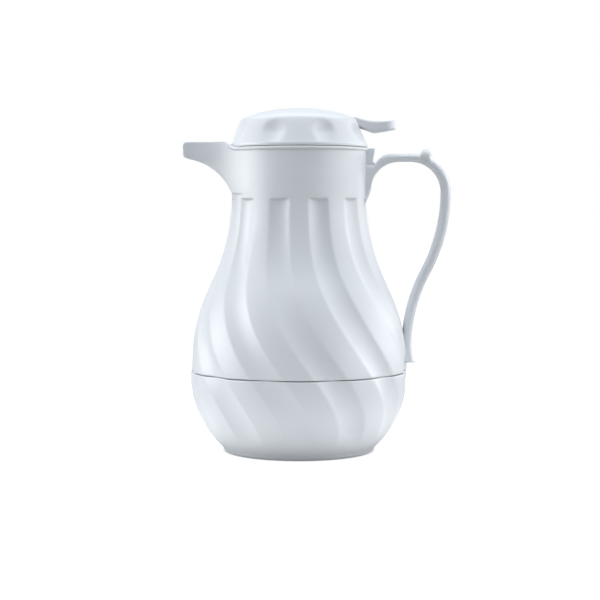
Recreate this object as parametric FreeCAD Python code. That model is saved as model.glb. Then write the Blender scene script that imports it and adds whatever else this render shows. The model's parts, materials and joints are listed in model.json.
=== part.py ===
import FreeCAD
import Part
import math
import os

# Thermal beverage server: a foam-insulated jug with swirl flutes, a broad open spout, a looped handle
# and a screw-in stopper lid whose thumb lever lifts a sprung valve.
# Millimetres. The origin is the middle of the base on the table, +Z is up, the spout points to -X,
# the handle and the thumb lever to +X.

# Casing form
rim_height = 230.0
neck_radius = 51.0
neck_length = 35.0
belly_radius = 82.5
belly_height = 59.0
base_radius = 54.4
hollow_arc_share = 0.479
casing_wall = 3.8
rim_bead_radius = 1.3

# Swirl flutes, the same count on both halves of the casing
flute_count = 11
flute_width_share = 0.53
flute_depth = 2.0
flute_top_drop = 38.0
flute_end_ramp = 2.6
flute_toe_height = 8.0
flute_fade_height = 16.0
swirl_turn_degrees = 50.0
swirl_ease_power = 1.48
first_flute_degrees = -90.0
upper_section_count = 9
lower_section_count = 6

# Seam between the two halves
seam_height = 60.8
seam_gap = 0.8
seam_rebate = 3.0
seam_lip_height = 5.0
seam_lip_root = 5.0
seam_lip_wall = 2.0
seam_lip_clearance = 0.15

# Base
foot_ring_width = 7.0
foot_edge_radius = 1.4
foot_recess = 2.5
floor_thickness = 3.0
fill_hole_radius = 8.0
fill_plug_flange = 2.5
fill_plug_clearance = 0.1

# Spout
spout_reach = 87.8
spout_tip_width = 17.0
spout_rise = 4.5
spout_tip_depth = 12.5
spout_root_drop = 34.0
spout_bulge = 6.4
spout_wall = 2.6
spout_edge_radius = 5.0
spout_sweep_near = 36.0
spout_sweep_far = 48.0

# Inner liner, its seal and the foam around it
liner_inset = 12.5
liner_wall = 1.8
liner_floor_height = 16.0
liner_corner_radius = 12.0
ledge_drop = 29.5
ledge_height = 2.5
ledge_width = 2.6
liner_flange_thickness = 2.0
liner_flange_clearance = 0.3
neck_seal_height = 2.4
foam_clearance = 0.3

# Handle
handle_reach = 115.2
handle_width = 19.0
handle_edge_radius = 2.4
handle_top_drop = 4.3
handle_top_band = 6.1
handle_back_band = 7.5
handle_outer_bend_share = 0.452
handle_root_bend_share = 0.412
handle_swing_share = 0.53
handle_foot_stand = 3.5
handle_foot_waist = 18.8
handle_foot_rise = 4.0
handle_foot_flare = 2.5
handle_foot_sink = 5.0
handle_root_stand = 3.3
handle_root_drop = 46.0
handle_root_sink = 4.0
lug_drop = 0.5
lug_stand = 6.5
lug_taper = 1.7
notch_drop = 10.5
notch_depth = 1.6
notch_width = 2.2
crest_share = 0.54
thumb_stop_radius = 3.5
thumb_stop_stand = 1.6
thumb_stop_turn_degrees = 21.0

# Handle screws
screw_shank_radius = 1.6
screw_head_radius = 3.0
screw_head_height = 2.4
screw_bite = 3.6
screw_hole_clearance = 0.2
screw_pocket_clearance = 0.4
screw_first_rise = 12.0
screw_spacing = 13.0

# Lid cover
lid_radius = 52.0
lid_gap = 0.3
lid_wall = 3.4
lid_skirt_height = 2.6
lid_side_inset = 0.9
lid_shoulder_radius = 44.0
lid_shoulder_height = 22.2
lid_crown_height = 30.0
lid_shoulder_round = 7.0
lid_spout_clearance = 0.5
scallop_count = 8
scallop_radius = 14.0
scallop_depth = 2.4
scallop_toe_depth = 0.8
scallop_head_height = 10.0

# Lid deck and stopper
deck_thickness = 2.5
deck_clearance = 0.25
deck_rib_width = 2.4
rim_gasket_height = 1.6
rim_gasket_width = 2.4
stopper_radius = 36.0
stopper_wall = 2.5
stopper_depth = 57.0
stopper_floor = 3.0
stopper_flange_radius = 42.2
stopper_flange_thickness = 3.0
stopper_gasket_height = 2.3
stopper_gasket_width = 3.4
post_count = 4
post_turn_degrees = 16.0
deck_screw_radius = 1.3
deck_screw_head_radius = 2.6
deck_screw_head_height = 1.6
deck_screw_length = 12.0

# Valve
seat_radius = 14.0
valve_disc_radius = 17.5
valve_disc_thickness = 2.6
valve_seal_height = 2.2
valve_seal_width = 7.0
stem_radius = 3.5
stem_clearance = 0.15
stem_collar_radius = 4.9
stem_collar_height = 3.0
stem_tip_height = 2.4
guide_wall = 3.0
guide_length = 22.0
stem_seal_height = 1.8
stem_seal_wall = 2.4
stem_cap_radius = 7.0
stem_cap_height = 3.6
stem_cap_roof = 1.2
spring_wire_radius = 0.7
spring_mean_radius = 6.2
spring_turn_count = 6
spring_clearance = 0.15
washer_thickness = 1.2
washer_radius = 8.4

# Thumb lever and its pivot
pivot_reach = 30.0
pivot_rise = 15.5
lever_pin_radius = 1.75
lever_pin_clearance = 0.05
lever_hub_radius = 5.0
lever_width = 16.0
lever_tip_reach = 73.2
lever_tip_top_rise = 21.7
lever_tip_thickness = 7.8
lever_dip_reach = 57.0
lever_dip_rise = 20.2
lever_dip_thickness = 8.9
lever_neck_reach = 43.0
lever_neck_rise = 23.2
lever_neck_thickness = 6.9
lever_edge_radius = 1.6
fork_gap = 0.3
fork_thickness = 3.4
fork_overhang = 2.5
fork_slot_clearance = 0.7
fork_root_reach = 16.0
ear_thickness = 3.0
ear_width = 10.0
ear_gap = 0.4
ear_crown = 4.0
slot_side_clearance = 0.5
slot_front_reach = 33.0
slot_floor_rise = 9.5

# One overrun serves every cut
overrun = 3.0

AXIS = FreeCAD.Vector(0, 0, 1)
CENTRE = FreeCAD.Vector(0, 0, 0)


def upright(place):
    """A point (x, z) of the plane through the spout and the handle."""
    return FreeCAD.Vector(place[0], 0, place[1])


def flat(place):
    """A point (x, y) of the base plane."""
    return FreeCAD.Vector(place[0], place[1], 0)


def on_arc(centre, start, end):
    """The middle of the shorter arc round a centre."""
    across = ((start[0] + end[0]) / 2 - centre[0], (start[1] + end[1]) / 2 - centre[1])
    grow = math.dist(centre, start) / math.hypot(*across)
    return centre[0] + across[0] * grow, centre[1] + across[1] * grow


def arc_centre(start, middle, end):
    """The centre of the circle through three points of an upright plane."""
    circle = Part.Arc(upright(start), upright(middle), upright(end)).toShape().Curve
    centre = circle.Center
    return centre.x, centre.z


def traced(plane, start, *steps):
    """A closed face: each step is an end point for a line, or a centre and an end point for an arc."""
    edges = []
    here = start
    for step in steps + (start,):
        if isinstance(step[0], tuple):
            centre, there = step
            middle = on_arc(centre, here, there)
            edges.append(Part.Arc(plane(here), plane(middle), plane(there)).toShape())
        else:
            there = step
            if math.dist(here, there) > 0:
                edges.append(Part.LineSegment(plane(here), plane(there)).toShape())
        here = there
    return Part.Face(Part.Wire(edges))


def turned(start, *steps):
    """A solid turned about the server's axis from an outline of radius and height."""
    return traced(upright, start, *steps).revolve(CENTRE, AXIS, 360)


def ring(inner, outer, bottom, top):
    return turned((inner, bottom), (outer, bottom), (outer, top), (inner, top))


def rod(radius, bottom, top, place=(0, 0)):
    return Part.makeCylinder(radius, top - bottom, FreeCAD.Vector(place[0], place[1], bottom), AXIS)


def cross_rod(radius, start, length, direction):
    return Part.makeCylinder(radius, length, start, direction)


def block(low, high):
    """A box between two corners."""
    size = [high[i] - low[i] for i in range(3)]
    return Part.makeBox(*size, FreeCAD.Vector(*low))


def across(face, width):
    """An upright face thickened evenly to both sides of its plane."""
    shifted = face.translated(FreeCAD.Vector(0, -width / 2, 0))
    return shifted.extrude(FreeCAD.Vector(0, width, 0))


def around(shape, count, first_degrees=0):
    """Evenly spaced copies about the axis."""
    copies = []
    for index in range(count):
        turn = first_degrees + index * 360 / count
        copies.append(shape.rotated(CENTRE, AXIS, turn))
    return copies


def s_bend(start, end, share):
    """Two tangent arcs with upright ends between two points: first centre, joint and second centre."""
    sideways = end[0] - start[0]
    down = end[1] - start[1]
    lean = 2 * math.atan2(abs(sideways), abs(down))
    both = abs(down) / math.sin(lean)
    first = math.copysign(both * share, sideways)
    second = math.copysign(both * (1 - share), sideways)
    drop = math.copysign(both * share * math.sin(lean), down)
    joint = (start[0] + first * (1 - math.cos(lean)), start[1] + drop)
    return (start[0] + first, start[1]), joint, (end[0] - second, end[1])


# Heights that follow from the driving sizes
shoulder_top = rim_height - neck_length
flute_top = rim_height - flute_top_drop
ledge_bottom = rim_height - ledge_drop - ledge_height
ledge_top = rim_height - ledge_drop
chamber_radius = neck_radius - casing_wall
flute_pitch = 360 / flute_count

# The casing's side: a straight neck, a hollow arc, a full arc to the belly and a last arc to the base
hollow_centre, shoulder_joint, full_centre = s_bend(
    (neck_radius, shoulder_top), (belly_radius, belly_height), hollow_arc_share
)
base_spread = belly_radius - base_radius
base_arc_radius = (base_spread**2 + belly_height**2) / (2 * base_spread)
base_centre = (belly_radius - base_arc_radius, belly_height)
side_zones = [
    (rim_height, shoulder_top, None),
    (shoulder_top, shoulder_joint[1], hollow_centre),
    (shoulder_joint[1], belly_height, full_centre),
    (belly_height, 0, base_centre),
]


def side_radius(height):
    """The casing's outer radius, flutes left aside."""
    if height >= shoulder_top:
        return neck_radius
    if height >= shoulder_joint[1]:
        radius = hollow_centre[0] - neck_radius
        return hollow_centre[0] - math.sqrt(radius**2 - (height - shoulder_top) ** 2)
    if height >= belly_height:
        radius = belly_radius - full_centre[0]
        return full_centre[0] + math.sqrt(radius**2 - (height - belly_height) ** 2)
    return base_centre[0] + math.sqrt(base_arc_radius**2 - (height - belly_height) ** 2)


def side_point(inset, height):
    return side_radius(height) - inset, height


def side_steps(inset, top, bottom):
    """Steps down the casing's side, moved in towards the axis."""
    steps = []
    for upper, lower, centre in side_zones:
        if lower < top and upper > bottom:
            end = side_point(inset, max(lower, bottom))
            if centre:
                steps.append(((centre[0] - inset, centre[1]), end))
            else:
                steps.append(end)
    return steps


def side_solid(inset, top, bottom):
    """A plug that fills the casing's form between two heights."""
    return turned((0, top), side_point(inset, top), *side_steps(inset, top, bottom), (0, bottom))


def swirl(height):
    """How far the flutes have turned at a height: upright at both ends, steepest at the belly."""
    way = (flute_top - height) / (flute_top - flute_toe_height)
    way = min(max(way, 0), 1)
    return swirl_turn_degrees * math.sin(math.pi / 2 * way**swirl_ease_power) ** 2


def flute_share(height):
    """The flute depth's share at a height: whole on the body, faded out at the toe."""
    way = (height - flute_toe_height) / flute_fade_height
    way = min(max(way, 0), 1)
    return way * way * (3 - 2 * way)


def around_axis(radius, degrees, height):
    turn = math.radians(degrees)
    return FreeCAD.Vector(radius * math.cos(turn), radius * math.sin(turn), height)


def fluted_wire(height, share):
    """A level section of the casing: lands on the round and hollow arcs in the flutes."""
    radius = side_radius(height)
    half = flute_pitch * flute_width_share / 2
    edges = []
    for index in range(flute_count):
        middle = first_flute_degrees + (index + 1 / 2) * flute_pitch + swirl(height)
        start = around_axis(radius, middle - half, height)
        bottom = around_axis(radius - flute_depth * share, middle, height)
        end = around_axis(radius, middle + half, height)
        land = around_axis(radius, middle + flute_pitch / 2, height)
        following = around_axis(radius, middle + flute_pitch - half, height)
        edges.append(Part.Arc(start, bottom, end).toShape())
        edges.append(Part.Arc(end, land, following).toShape())
    return Part.Wire(edges)


def fluted_solid(top, bottom, spans):
    """A smooth loft through evenly spaced sections."""
    sections = []
    for index in range(spans + 1):
        height = top + (bottom - top) * index / spans
        sections.append(fluted_wire(height, flute_share(height)))
    return Part.makeLoft(sections, True, False)


def upper_form():
    """The outside of the upper casing as a filled solid, without the spout."""
    bead_centre = (neck_radius, rim_height - rim_bead_radius)
    bead_crest = (neck_radius + rim_bead_radius, rim_height - rim_bead_radius)
    bead_foot = (neck_radius, rim_height - 2 * rim_bead_radius)
    neck = turned(
        (0, rim_height),
        (neck_radius, rim_height),
        (bead_centre, bead_crest),
        (bead_centre, bead_foot),
        *side_steps(0, bead_foot[1], flute_top),
        (0, flute_top),
    )
    full_depth = flute_top - flute_end_ramp
    ramp = Part.makeLoft([fluted_wire(flute_top, 0), fluted_wire(full_depth, 1)], True, True)
    body = fluted_solid(full_depth, seam_height, upper_section_count)
    return neck.fuse([ramp, body])


# The spout's plan: two arcs that leave the neck smoothly and run out parallel at the tip
spout_top = rim_height + spout_rise
spout_tip_bottom = spout_top - spout_tip_depth
tip_half = spout_tip_width / 2
plan_radius = (spout_reach**2 + tip_half**2 - neck_radius**2) / (2 * (neck_radius - tip_half))
plan_lean = math.atan2(tip_half + plan_radius, spout_reach)

# The spout's underside: one arc from the tip to the neck
under_tip = (-spout_reach, spout_tip_bottom)
under_root = (-neck_radius, rim_height - spout_root_drop)
under_chord = math.dist(under_tip, under_root)
under_radius = (under_chord**2 / 4 + spout_bulge**2) / (2 * spout_bulge)
under_rise = (under_tip[1] - under_root[1]) / under_chord
under_run = (under_root[0] - under_tip[0]) / under_chord
under_centre = (
    (under_tip[0] + under_root[0]) / 2 - under_rise * (under_radius - spout_bulge),
    (under_tip[1] + under_root[1]) / 2 - under_run * (under_radius - spout_bulge),
)


def spout_plan(inset, reach):
    """The spout seen from above, from inside the neck to its tip."""
    edge = plan_radius + inset
    root = (
        -(neck_radius - inset) * math.cos(plan_lean),
        (neck_radius - inset) * math.sin(plan_lean),
    )
    middle = (-spout_reach, tip_half + plan_radius)
    mirrored = (-spout_reach, -middle[1])
    half = middle[1] - edge
    return traced(
        flat,
        root,
        (middle, (-spout_reach, half)),
        (-reach, half),
        (-reach, -half),
        (-spout_reach, -half),
        (mirrored, (root[0], -root[1])),
    )


def under_point(inset, x):
    drop = math.sqrt((under_radius + inset) ** 2 - (x - under_centre[0]) ** 2)
    return x, under_centre[1] + drop


def spout_form():
    """The outside of the spout: its plan raised, cut to its side view, with a rounded underside."""
    inside = -chamber_radius * math.cos(plan_lean)
    side = traced(
        upright,
        under_tip,
        (under_centre, under_root),
        (inside, under_root[1]),
        (inside, rim_height),
        (-spout_sweep_near, rim_height),
        (-spout_sweep_far, spout_top),
        (-spout_reach, spout_top),
    )
    raised = spout_plan(0, spout_reach + overrun)
    raised.translate(AXIS * under_root[1])
    raised = raised.extrude(AXIS * (spout_top - under_root[1]))
    form = raised.common(across(side, 2 * neck_radius))
    edges = []
    for edge in form.Edges:
        middle = edge.valueAt((edge.FirstParameter + edge.LastParameter) / 2)
        on_underside = abs(math.dist((middle.x, middle.z), under_centre) - under_radius) < overrun / 100
        runs_along = edge.BoundBox.XLength > spout_tip_depth
        if on_underside and runs_along and abs(middle.y) > tip_half / 2:
            edges.append(edge)
    return form.makeFillet(spout_edge_radius, edges)


def spout_channel():
    """The open pouring channel, from the chamber's floor level out through the tip."""
    far = -spout_reach - overrun
    floor_end = under_centre[0] + math.sqrt(
        (under_radius + spout_wall) ** 2 - (ledge_top - under_centre[1]) ** 2
    )
    inside = -chamber_radius * math.cos(plan_lean)
    side = traced(
        upright,
        under_point(spout_wall, far),
        (under_centre, (floor_end, ledge_top)),
        (inside, ledge_top),
        (inside, spout_top + overrun),
        (far, spout_top + overrun),
    )
    raised = spout_plan(spout_wall, spout_reach + 2 * overrun)
    raised.translate(AXIS * ledge_top)
    raised = raised.extrude(AXIS * (spout_top + overrun - ledge_top))
    return raised.common(across(side, 2 * neck_radius))


def screw_heights():
    first = seam_height + screw_first_rise
    return [first, first + screw_spacing]


def screw_rods(radius, height, near, far):
    """Level rods along +X at a screw's height, measured from the casing's inner wall."""
    start = side_radius(height) - casing_wall
    return cross_rod(
        radius,
        FreeCAD.Vector(start + near, 0, height),
        far - near,
        FreeCAD.Vector(1, 0, 0),
    )


def make_upper_casing(form):
    chamber = turned(
        (0, rim_height + overrun),
        (chamber_radius, rim_height + overrun),
        (chamber_radius, ledge_top),
        (chamber_radius - ledge_width, ledge_top),
        (chamber_radius - ledge_width, ledge_bottom),
        side_point(casing_wall, ledge_bottom),
        *side_steps(casing_wall, ledge_bottom, seam_height),
        (side_radius(seam_height) - casing_wall, seam_height - overrun),
        (0, seam_height - overrun),
    )
    lid_room = rod(lid_radius + lid_spout_clearance, rim_height, spout_top + overrun)
    rebate = ring(
        belly_radius - seam_rebate,
        belly_radius + overrun,
        seam_height - overrun,
        seam_height + seam_gap,
    )
    cuts = [chamber, lid_room, spout_channel(), rebate]
    for height in screw_heights():
        hole = screw_shank_radius + screw_hole_clearance
        cuts.append(screw_rods(hole, height, -overrun, casing_wall + overrun))
        spot_face = screw_head_radius + screw_pocket_clearance
        cuts.append(screw_rods(spot_face, height, -overrun, 0))
    return form.fuse(spout_form()).cut(cuts)


def make_lower_casing():
    body = fluted_solid(seam_height, flute_toe_height, lower_section_count)
    foot_centre = (base_radius - foot_edge_radius, foot_edge_radius)
    foot = turned(
        (0, flute_toe_height),
        side_point(0, flute_toe_height),
        *side_steps(0, flute_toe_height, foot_edge_radius),
        (base_radius, foot_edge_radius),
        (foot_centre, (foot_centre[0], 0)),
        (0, 0),
    )
    floor_top = foot_recess + floor_thickness
    hollow = side_solid(casing_wall, seam_height, floor_top)
    recess = rod(base_radius - foot_ring_width, -overrun, foot_recess)
    fill_hole = rod(fill_hole_radius, 0, floor_top + overrun)
    shell = body.fuse(foot).cut([hollow, recess, fill_hole])
    lip_face = side_radius(seam_height) - casing_wall - seam_lip_clearance
    lip_inner = lip_face - seam_lip_wall
    lip = ring(lip_inner, lip_face, seam_height, seam_height + seam_lip_height)
    root = ring(lip_inner, belly_radius - casing_wall / 2, seam_height - seam_lip_root, seam_height)
    return shell.fuse([lip, root])


def make_fill_plug():
    floor_top = foot_recess + floor_thickness
    shank = rod(fill_hole_radius - fill_plug_clearance, foot_recess, floor_top)
    flange = rod(fill_hole_radius + fill_plug_flange, floor_top, floor_top + floor_thickness / 2)
    return shank.fuse(flange)


def make_liner():
    """A wide-necked bottle whose flange seats under the ledge in the casing's neck."""
    outer_inset = liner_inset - liner_wall
    flange_edge = chamber_radius - liner_flange_clearance
    flange_bottom = ledge_bottom - liner_flange_thickness
    outside = side_solid(outer_inset, ledge_bottom, liner_floor_height - liner_wall)
    inside = side_solid(liner_inset, ledge_bottom, liner_floor_height)
    outside = rounded_floor(outside, liner_floor_height - liner_wall, liner_corner_radius + liner_wall)
    inside = rounded_floor(inside, liner_floor_height, liner_corner_radius)
    flange = rod(flange_edge, flange_bottom, ledge_bottom)
    mouth = rod(neck_radius - liner_inset, flange_bottom, ledge_bottom + overrun)
    return outside.fuse(flange).cut([inside, mouth])


def rounded_floor(plug, floor, radius):
    """A filled form with its lower edge rounded."""
    edges = []
    for edge in plug.Edges:
        if edge.BoundBox.ZMax - floor < overrun / 100 and edge.BoundBox.XLength > radius:
            edges.append(edge)
    return plug.makeFillet(radius, edges)


def make_neck_seal():
    inner = neck_radius - liner_inset + liner_wall + foam_clearance
    outer = chamber_radius - liner_flange_clearance
    top = ledge_bottom - liner_flange_thickness
    return ring(inner, outer, top - neck_seal_height, top)


def make_foam():
    top = ledge_bottom - liner_flange_thickness - neck_seal_height - foam_clearance
    floor = foot_recess + floor_thickness + floor_thickness / 2 + foam_clearance
    outside = side_solid(casing_wall + foam_clearance, top, floor)
    inner_floor = liner_floor_height - liner_wall - foam_clearance
    inside = side_solid(liner_inset - liner_wall - foam_clearance, top, inner_floor)
    inside = rounded_floor(inside, inner_floor, liner_corner_radius + liner_wall + foam_clearance)
    lip_room = ring(
        side_radius(seam_height) - casing_wall - seam_lip_clearance - seam_lip_wall - foam_clearance,
        belly_radius,
        seam_height - seam_lip_root - foam_clearance,
        seam_height + seam_lip_height + foam_clearance,
    )
    cuts = [inside, lip_room]
    for height in screw_heights():
        pocket = screw_head_radius + screw_pocket_clearance
        cuts.append(screw_rods(pocket, height, -screw_head_height - screw_pocket_clearance, overrun))
    return outside.cut(cuts)


def make_handle(form):
    """The looped handle: its side view thickened, its edges rounded, its roots fitted to the casing."""
    top = rim_height - handle_top_drop
    foot_end = seam_height + handle_foot_rise
    waist = seam_height + handle_foot_waist
    foot_face = belly_radius + handle_foot_stand
    root_face = neck_radius + handle_root_stand
    lug_top = rim_height - lug_drop
    notch = (neck_radius + lug_stand - lug_taper, rim_height - notch_drop)
    notch_floor = (notch[0] + notch_width, notch[1] - notch_depth)
    outer_radius = handle_outer_bend_share * (handle_reach - neck_radius)
    outer_bend = (handle_reach - outer_radius, top - outer_radius)
    crest = (neck_radius + crest_share * (outer_bend[0] - neck_radius), top)
    crest_radius = ((crest[0] - notch_floor[0]) ** 2 + (top - notch_floor[1]) ** 2) / (
        2 * (top - notch_floor[1])
    )
    back_top = (handle_reach, outer_bend[1])
    back_foot = (foot_face, waist)
    back_a, back_joint, back_b = s_bend(back_top, back_foot, handle_swing_share)
    flare_drop = waist - foot_end
    flare_radius = (handle_foot_flare**2 + flare_drop**2) / (2 * handle_foot_flare)
    finger_gap = handle_reach - handle_back_band - root_face
    inner_bend = (handle_reach - handle_back_band - outer_radius + handle_top_band, outer_bend[1])
    palm_top = (handle_reach - handle_back_band, inner_bend[1])
    palm_foot = (foot_face - handle_back_band, waist)
    inward = 1 - handle_back_band / math.dist(back_a, back_joint)
    palm_joint = (
        back_a[0] + (back_joint[0] - back_a[0]) * inward,
        back_a[1] + (back_joint[1] - back_a[1]) * inward,
    )
    under_top = top - handle_top_band
    root_radius = handle_root_bend_share * finger_gap
    root_centre = (root_face + root_radius, under_top - root_radius)
    band = traced(
        upright,
        (neck_radius - handle_root_sink, notch_floor[1]),
        notch_floor,
        ((crest[0], top - crest_radius), crest),
        (outer_bend[0], top),
        (outer_bend, back_top),
        (back_a, back_joint),
        (back_b, back_foot),
        ((foot_face + flare_radius, waist), (foot_face + handle_foot_flare, foot_end)),
        (foot_face - handle_back_band - handle_foot_sink, foot_end),
        palm_foot,
        (back_b, palm_joint),
        (back_a, palm_top),
        (inner_bend, (inner_bend[0], under_top)),
        (root_centre[0], under_top),
        (root_centre, (root_face, root_centre[1])),
        (neck_radius - handle_root_sink / 4, rim_height - handle_root_drop),
        (neck_radius - handle_root_sink, rim_height - handle_root_drop),
    )
    solid = across(band, handle_width)
    edges = []
    for edge in solid.Edges:
        box = edge.BoundBox
        level = box.ZLength < overrun / 100
        sunk = box.XMin < neck_radius - handle_root_sink / 2
        at_foot = box.ZMax < waist + overrun / 100 and (level or box.XMax < palm_foot[0] + overrun / 100)
        if box.YLength < overrun / 100 and not sunk and not at_foot:
            edges.append(edge)
    solid = solid.makeFillet(handle_edge_radius, edges)
    lug = traced(
        upright,
        (neck_radius - handle_root_sink, lug_top),
        (neck_radius + lug_stand, lug_top),
        notch,
        notch_floor,
        (notch_floor[0], notch_floor[1] - notch_depth),
        (neck_radius - handle_root_sink, notch_floor[1] - notch_depth),
    )
    lug_width = handle_width - 2 * handle_edge_radius
    stop_x, stop_z = polar(outer_radius + thumb_stop_stand, 90 - thumb_stop_turn_degrees)
    start = FreeCAD.Vector(outer_bend[0] + stop_x, -lug_width / 2, outer_bend[1] + stop_z)
    thumb_stop = cross_rod(thumb_stop_radius, start, lug_width, FreeCAD.Vector(0, 1, 0))
    solid = solid.fuse([across(lug, lug_width), thumb_stop])
    holes = []
    for height in screw_heights():
        holes.append(screw_rods(screw_shank_radius, height, 0, casing_wall + screw_bite))
    return solid.cut([form] + holes)


def make_handle_screws():
    screws = []
    for height in screw_heights():
        head = screw_rods(screw_head_radius, height, -screw_head_height, 0)
        shank = screw_rods(screw_shank_radius, height, 0, casing_wall + screw_bite)
        screws.append(head.fuse(shank))
    return Part.makeCompound(screws)


# The lid's levels
lid_bottom = rim_height + lid_gap
deck_bottom = lid_bottom + rim_gasket_height
deck_top = deck_bottom + deck_thickness
deck_seat_radius = lid_radius - lid_side_inset - lid_wall
deck_radius = deck_seat_radius - deck_clearance
gasket_radius = neck_radius - rim_bead_radius
crown_top = rim_height + lid_crown_height
shoulder_level = rim_height + lid_shoulder_height
stopper_flange_bottom = ledge_bottom + stopper_gasket_height
stopper_flange_top = stopper_flange_bottom + stopper_flange_thickness
pivot = (pivot_reach, rim_height + pivot_rise)
stopper_floor_level = rim_height - stopper_depth
seat_level = stopper_floor_level + stopper_floor
disc_bottom = seat_level + valve_seal_height
disc_top = disc_bottom + valve_disc_thickness
cap_bottom = rim_height + pivot_rise + fork_gap
guide_bottom = deck_bottom - guide_length
post_radius = stopper_radius - stopper_wall / 2


def dome(inset, skirt, side_start, bottom, round_radius):
    """The domed cover's form: an upright skirt, a tapered side, a rounded shoulder and a low crown."""
    side_foot = (lid_radius - lid_side_inset - inset, side_start)
    shoulder = (lid_shoulder_radius - inset, shoulder_level - inset / 2)
    top = crown_top - inset
    rise = top - shoulder[1]
    crown_radius = (shoulder[0] ** 2 + rise**2) / (2 * rise)
    solid = turned(
        (0, top),
        ((0, top - crown_radius), shoulder),
        side_foot,
        (skirt, side_start),
        (skirt, bottom),
        (0, bottom),
    )
    edges = []
    for edge in solid.Edges:
        middle = edge.valueAt(edge.FirstParameter)
        if abs(middle.z - shoulder[1]) < overrun / 100 and edge.BoundBox.ZLength < overrun / 100:
            edges.append(edge)
    return solid.makeFillet(round_radius, edges)


def scallop():
    """One finger scoop's cutter: a leaning round bar with a ball end, deepest at its head."""
    foot = (lid_radius - lid_side_inset, lid_bottom + lid_skirt_height)
    shoulder = (lid_shoulder_radius, shoulder_level)
    lean = math.atan2(foot[0] - shoulder[0], shoulder[1] - foot[1])
    level = rim_height + scallop_head_height
    on_side = foot[0] - (level - foot[1]) * math.tan(lean)
    stand = scallop_radius - scallop_depth
    head = (on_side + stand * math.cos(lean), level + stand * math.sin(lean))
    run = (level - lid_bottom) / math.cos(lean)
    extra = math.atan2(scallop_depth - scallop_toe_depth, run)
    away = FreeCAD.Vector(math.sin(lean + extra), 0, -math.cos(lean + extra))
    ball = Part.makeSphere(scallop_radius, upright(head))
    bar = cross_rod(scallop_radius, upright(head), run, away)
    return ball.fuse(bar)


def make_lid_cover():
    side_start = lid_bottom + lid_skirt_height
    shell = dome(0, lid_radius, side_start, lid_bottom, lid_shoulder_round)
    inner_round = lid_shoulder_round - lid_wall / 2
    hollow = dome(lid_wall, deck_seat_radius, deck_top, lid_bottom - overrun, inner_round)
    groove = rod(gasket_radius + deck_clearance, lid_bottom - overrun, deck_bottom)
    slot_half = lever_width / 2 + slot_side_clearance
    slot = block(
        (slot_front_reach, -slot_half, rim_height + slot_floor_rise),
        (lid_radius + overrun, slot_half, crown_top + overrun),
    )
    rib = ring(deck_seat_radius - deck_rib_width, lid_radius, deck_top, deck_top + deck_thickness)
    walls = shell.cut([hollow, groove]).fuse(rib.common(shell))
    skirt_room = rod(lid_radius + scallop_radius, lid_bottom - scallop_radius, side_start)
    scoops = around(scallop().cut(skirt_room), scallop_count, 180 / scallop_count)
    return walls.cut(scoops + [slot])


def make_rim_gasket():
    return ring(gasket_radius - rim_gasket_width, gasket_radius, lid_bottom, deck_bottom)


def post_places():
    """Middles of the posts that join the deck to the stopper."""
    places = []
    for index in range(post_count):
        turn = math.radians((index + 1 / 2) * 360 / post_count)
        places.append((post_radius * math.cos(turn), post_radius * math.sin(turn)))
    return places


def make_lid_deck():
    """The plate under the dome, with the stem's guide tube and the two ears of the lever's pin."""
    plate = rod(deck_radius, deck_bottom, deck_top)
    bore = stem_radius + stem_clearance
    guide = rod(bore + guide_wall, guide_bottom, deck_bottom)
    ear_side = traced(
        upright,
        (pivot[0] - ear_width / 2, deck_top),
        (pivot[0] + ear_width / 2, deck_top),
        (pivot[0] + ear_crown, pivot[1]),
        (pivot, (pivot[0], pivot[1] + ear_crown)),
        (pivot, (pivot[0] - ear_crown, pivot[1])),
    )
    solid = plate.fuse(guide)
    stand = lever_width / 2 + ear_gap + ear_thickness / 2
    for side in (-1, 1):
        ear = across(ear_side, ear_thickness)
        ear.translate(FreeCAD.Vector(0, side * stand, 0))
        solid = solid.fuse(ear)
    cuts = [
        rod(bore, guide_bottom - overrun, deck_top + overrun),
        rod(stem_radius + stem_clearance + stem_seal_wall, deck_top - stem_seal_height, deck_top + overrun),
        pin_rod(lever_pin_radius, overrun),
    ]
    for place in post_places():
        cuts.append(rod(deck_screw_radius, deck_bottom - overrun, deck_top + overrun, place))
    return solid.cut(cuts)


def pin_rod(radius, extra):
    half = lever_width / 2 + ear_gap + ear_thickness + extra
    start = FreeCAD.Vector(pivot[0], -half, pivot[1])
    return cross_rod(radius, start, 2 * half, FreeCAD.Vector(0, 1, 0))


def make_stopper():
    """The screw-in cup with its valve seat, sealing flange and posts up to the deck."""
    inner = stopper_radius - stopper_wall
    cup = turned(
        (seat_radius, stopper_floor_level),
        (stopper_radius, stopper_floor_level),
        (stopper_radius, stopper_flange_bottom),
        (stopper_flange_radius, stopper_flange_bottom),
        (stopper_flange_radius, stopper_flange_top),
        (inner, stopper_flange_top),
        (inner, seat_level),
        (seat_radius, seat_level),
    )
    half = post_turn_degrees / 2
    inside = inner - stopper_wall
    post_face = traced(
        flat,
        polar(inside, -half),
        ((0, 0), polar(inside, half)),
        polar(stopper_radius, half),
        ((0, 0), polar(stopper_radius, -half)),
    )
    post_face.translate(AXIS * (stopper_flange_top - stopper_flange_thickness / 2))
    post = post_face.extrude(AXIS * (deck_bottom - stopper_flange_top + stopper_flange_thickness / 2))
    solid = cup.fuse(around(post, post_count, 180 / post_count))
    holes = []
    for place in post_places():
        holes.append(rod(deck_screw_radius, deck_top - deck_screw_length, deck_bottom + overrun, place))
    return solid.cut(holes)


def polar(radius, degrees):
    turn = math.radians(degrees)
    return radius * math.cos(turn), radius * math.sin(turn)


def make_stopper_gasket():
    outer = stopper_flange_radius
    return ring(outer - stopper_gasket_width, outer, ledge_bottom, stopper_flange_bottom)


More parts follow.
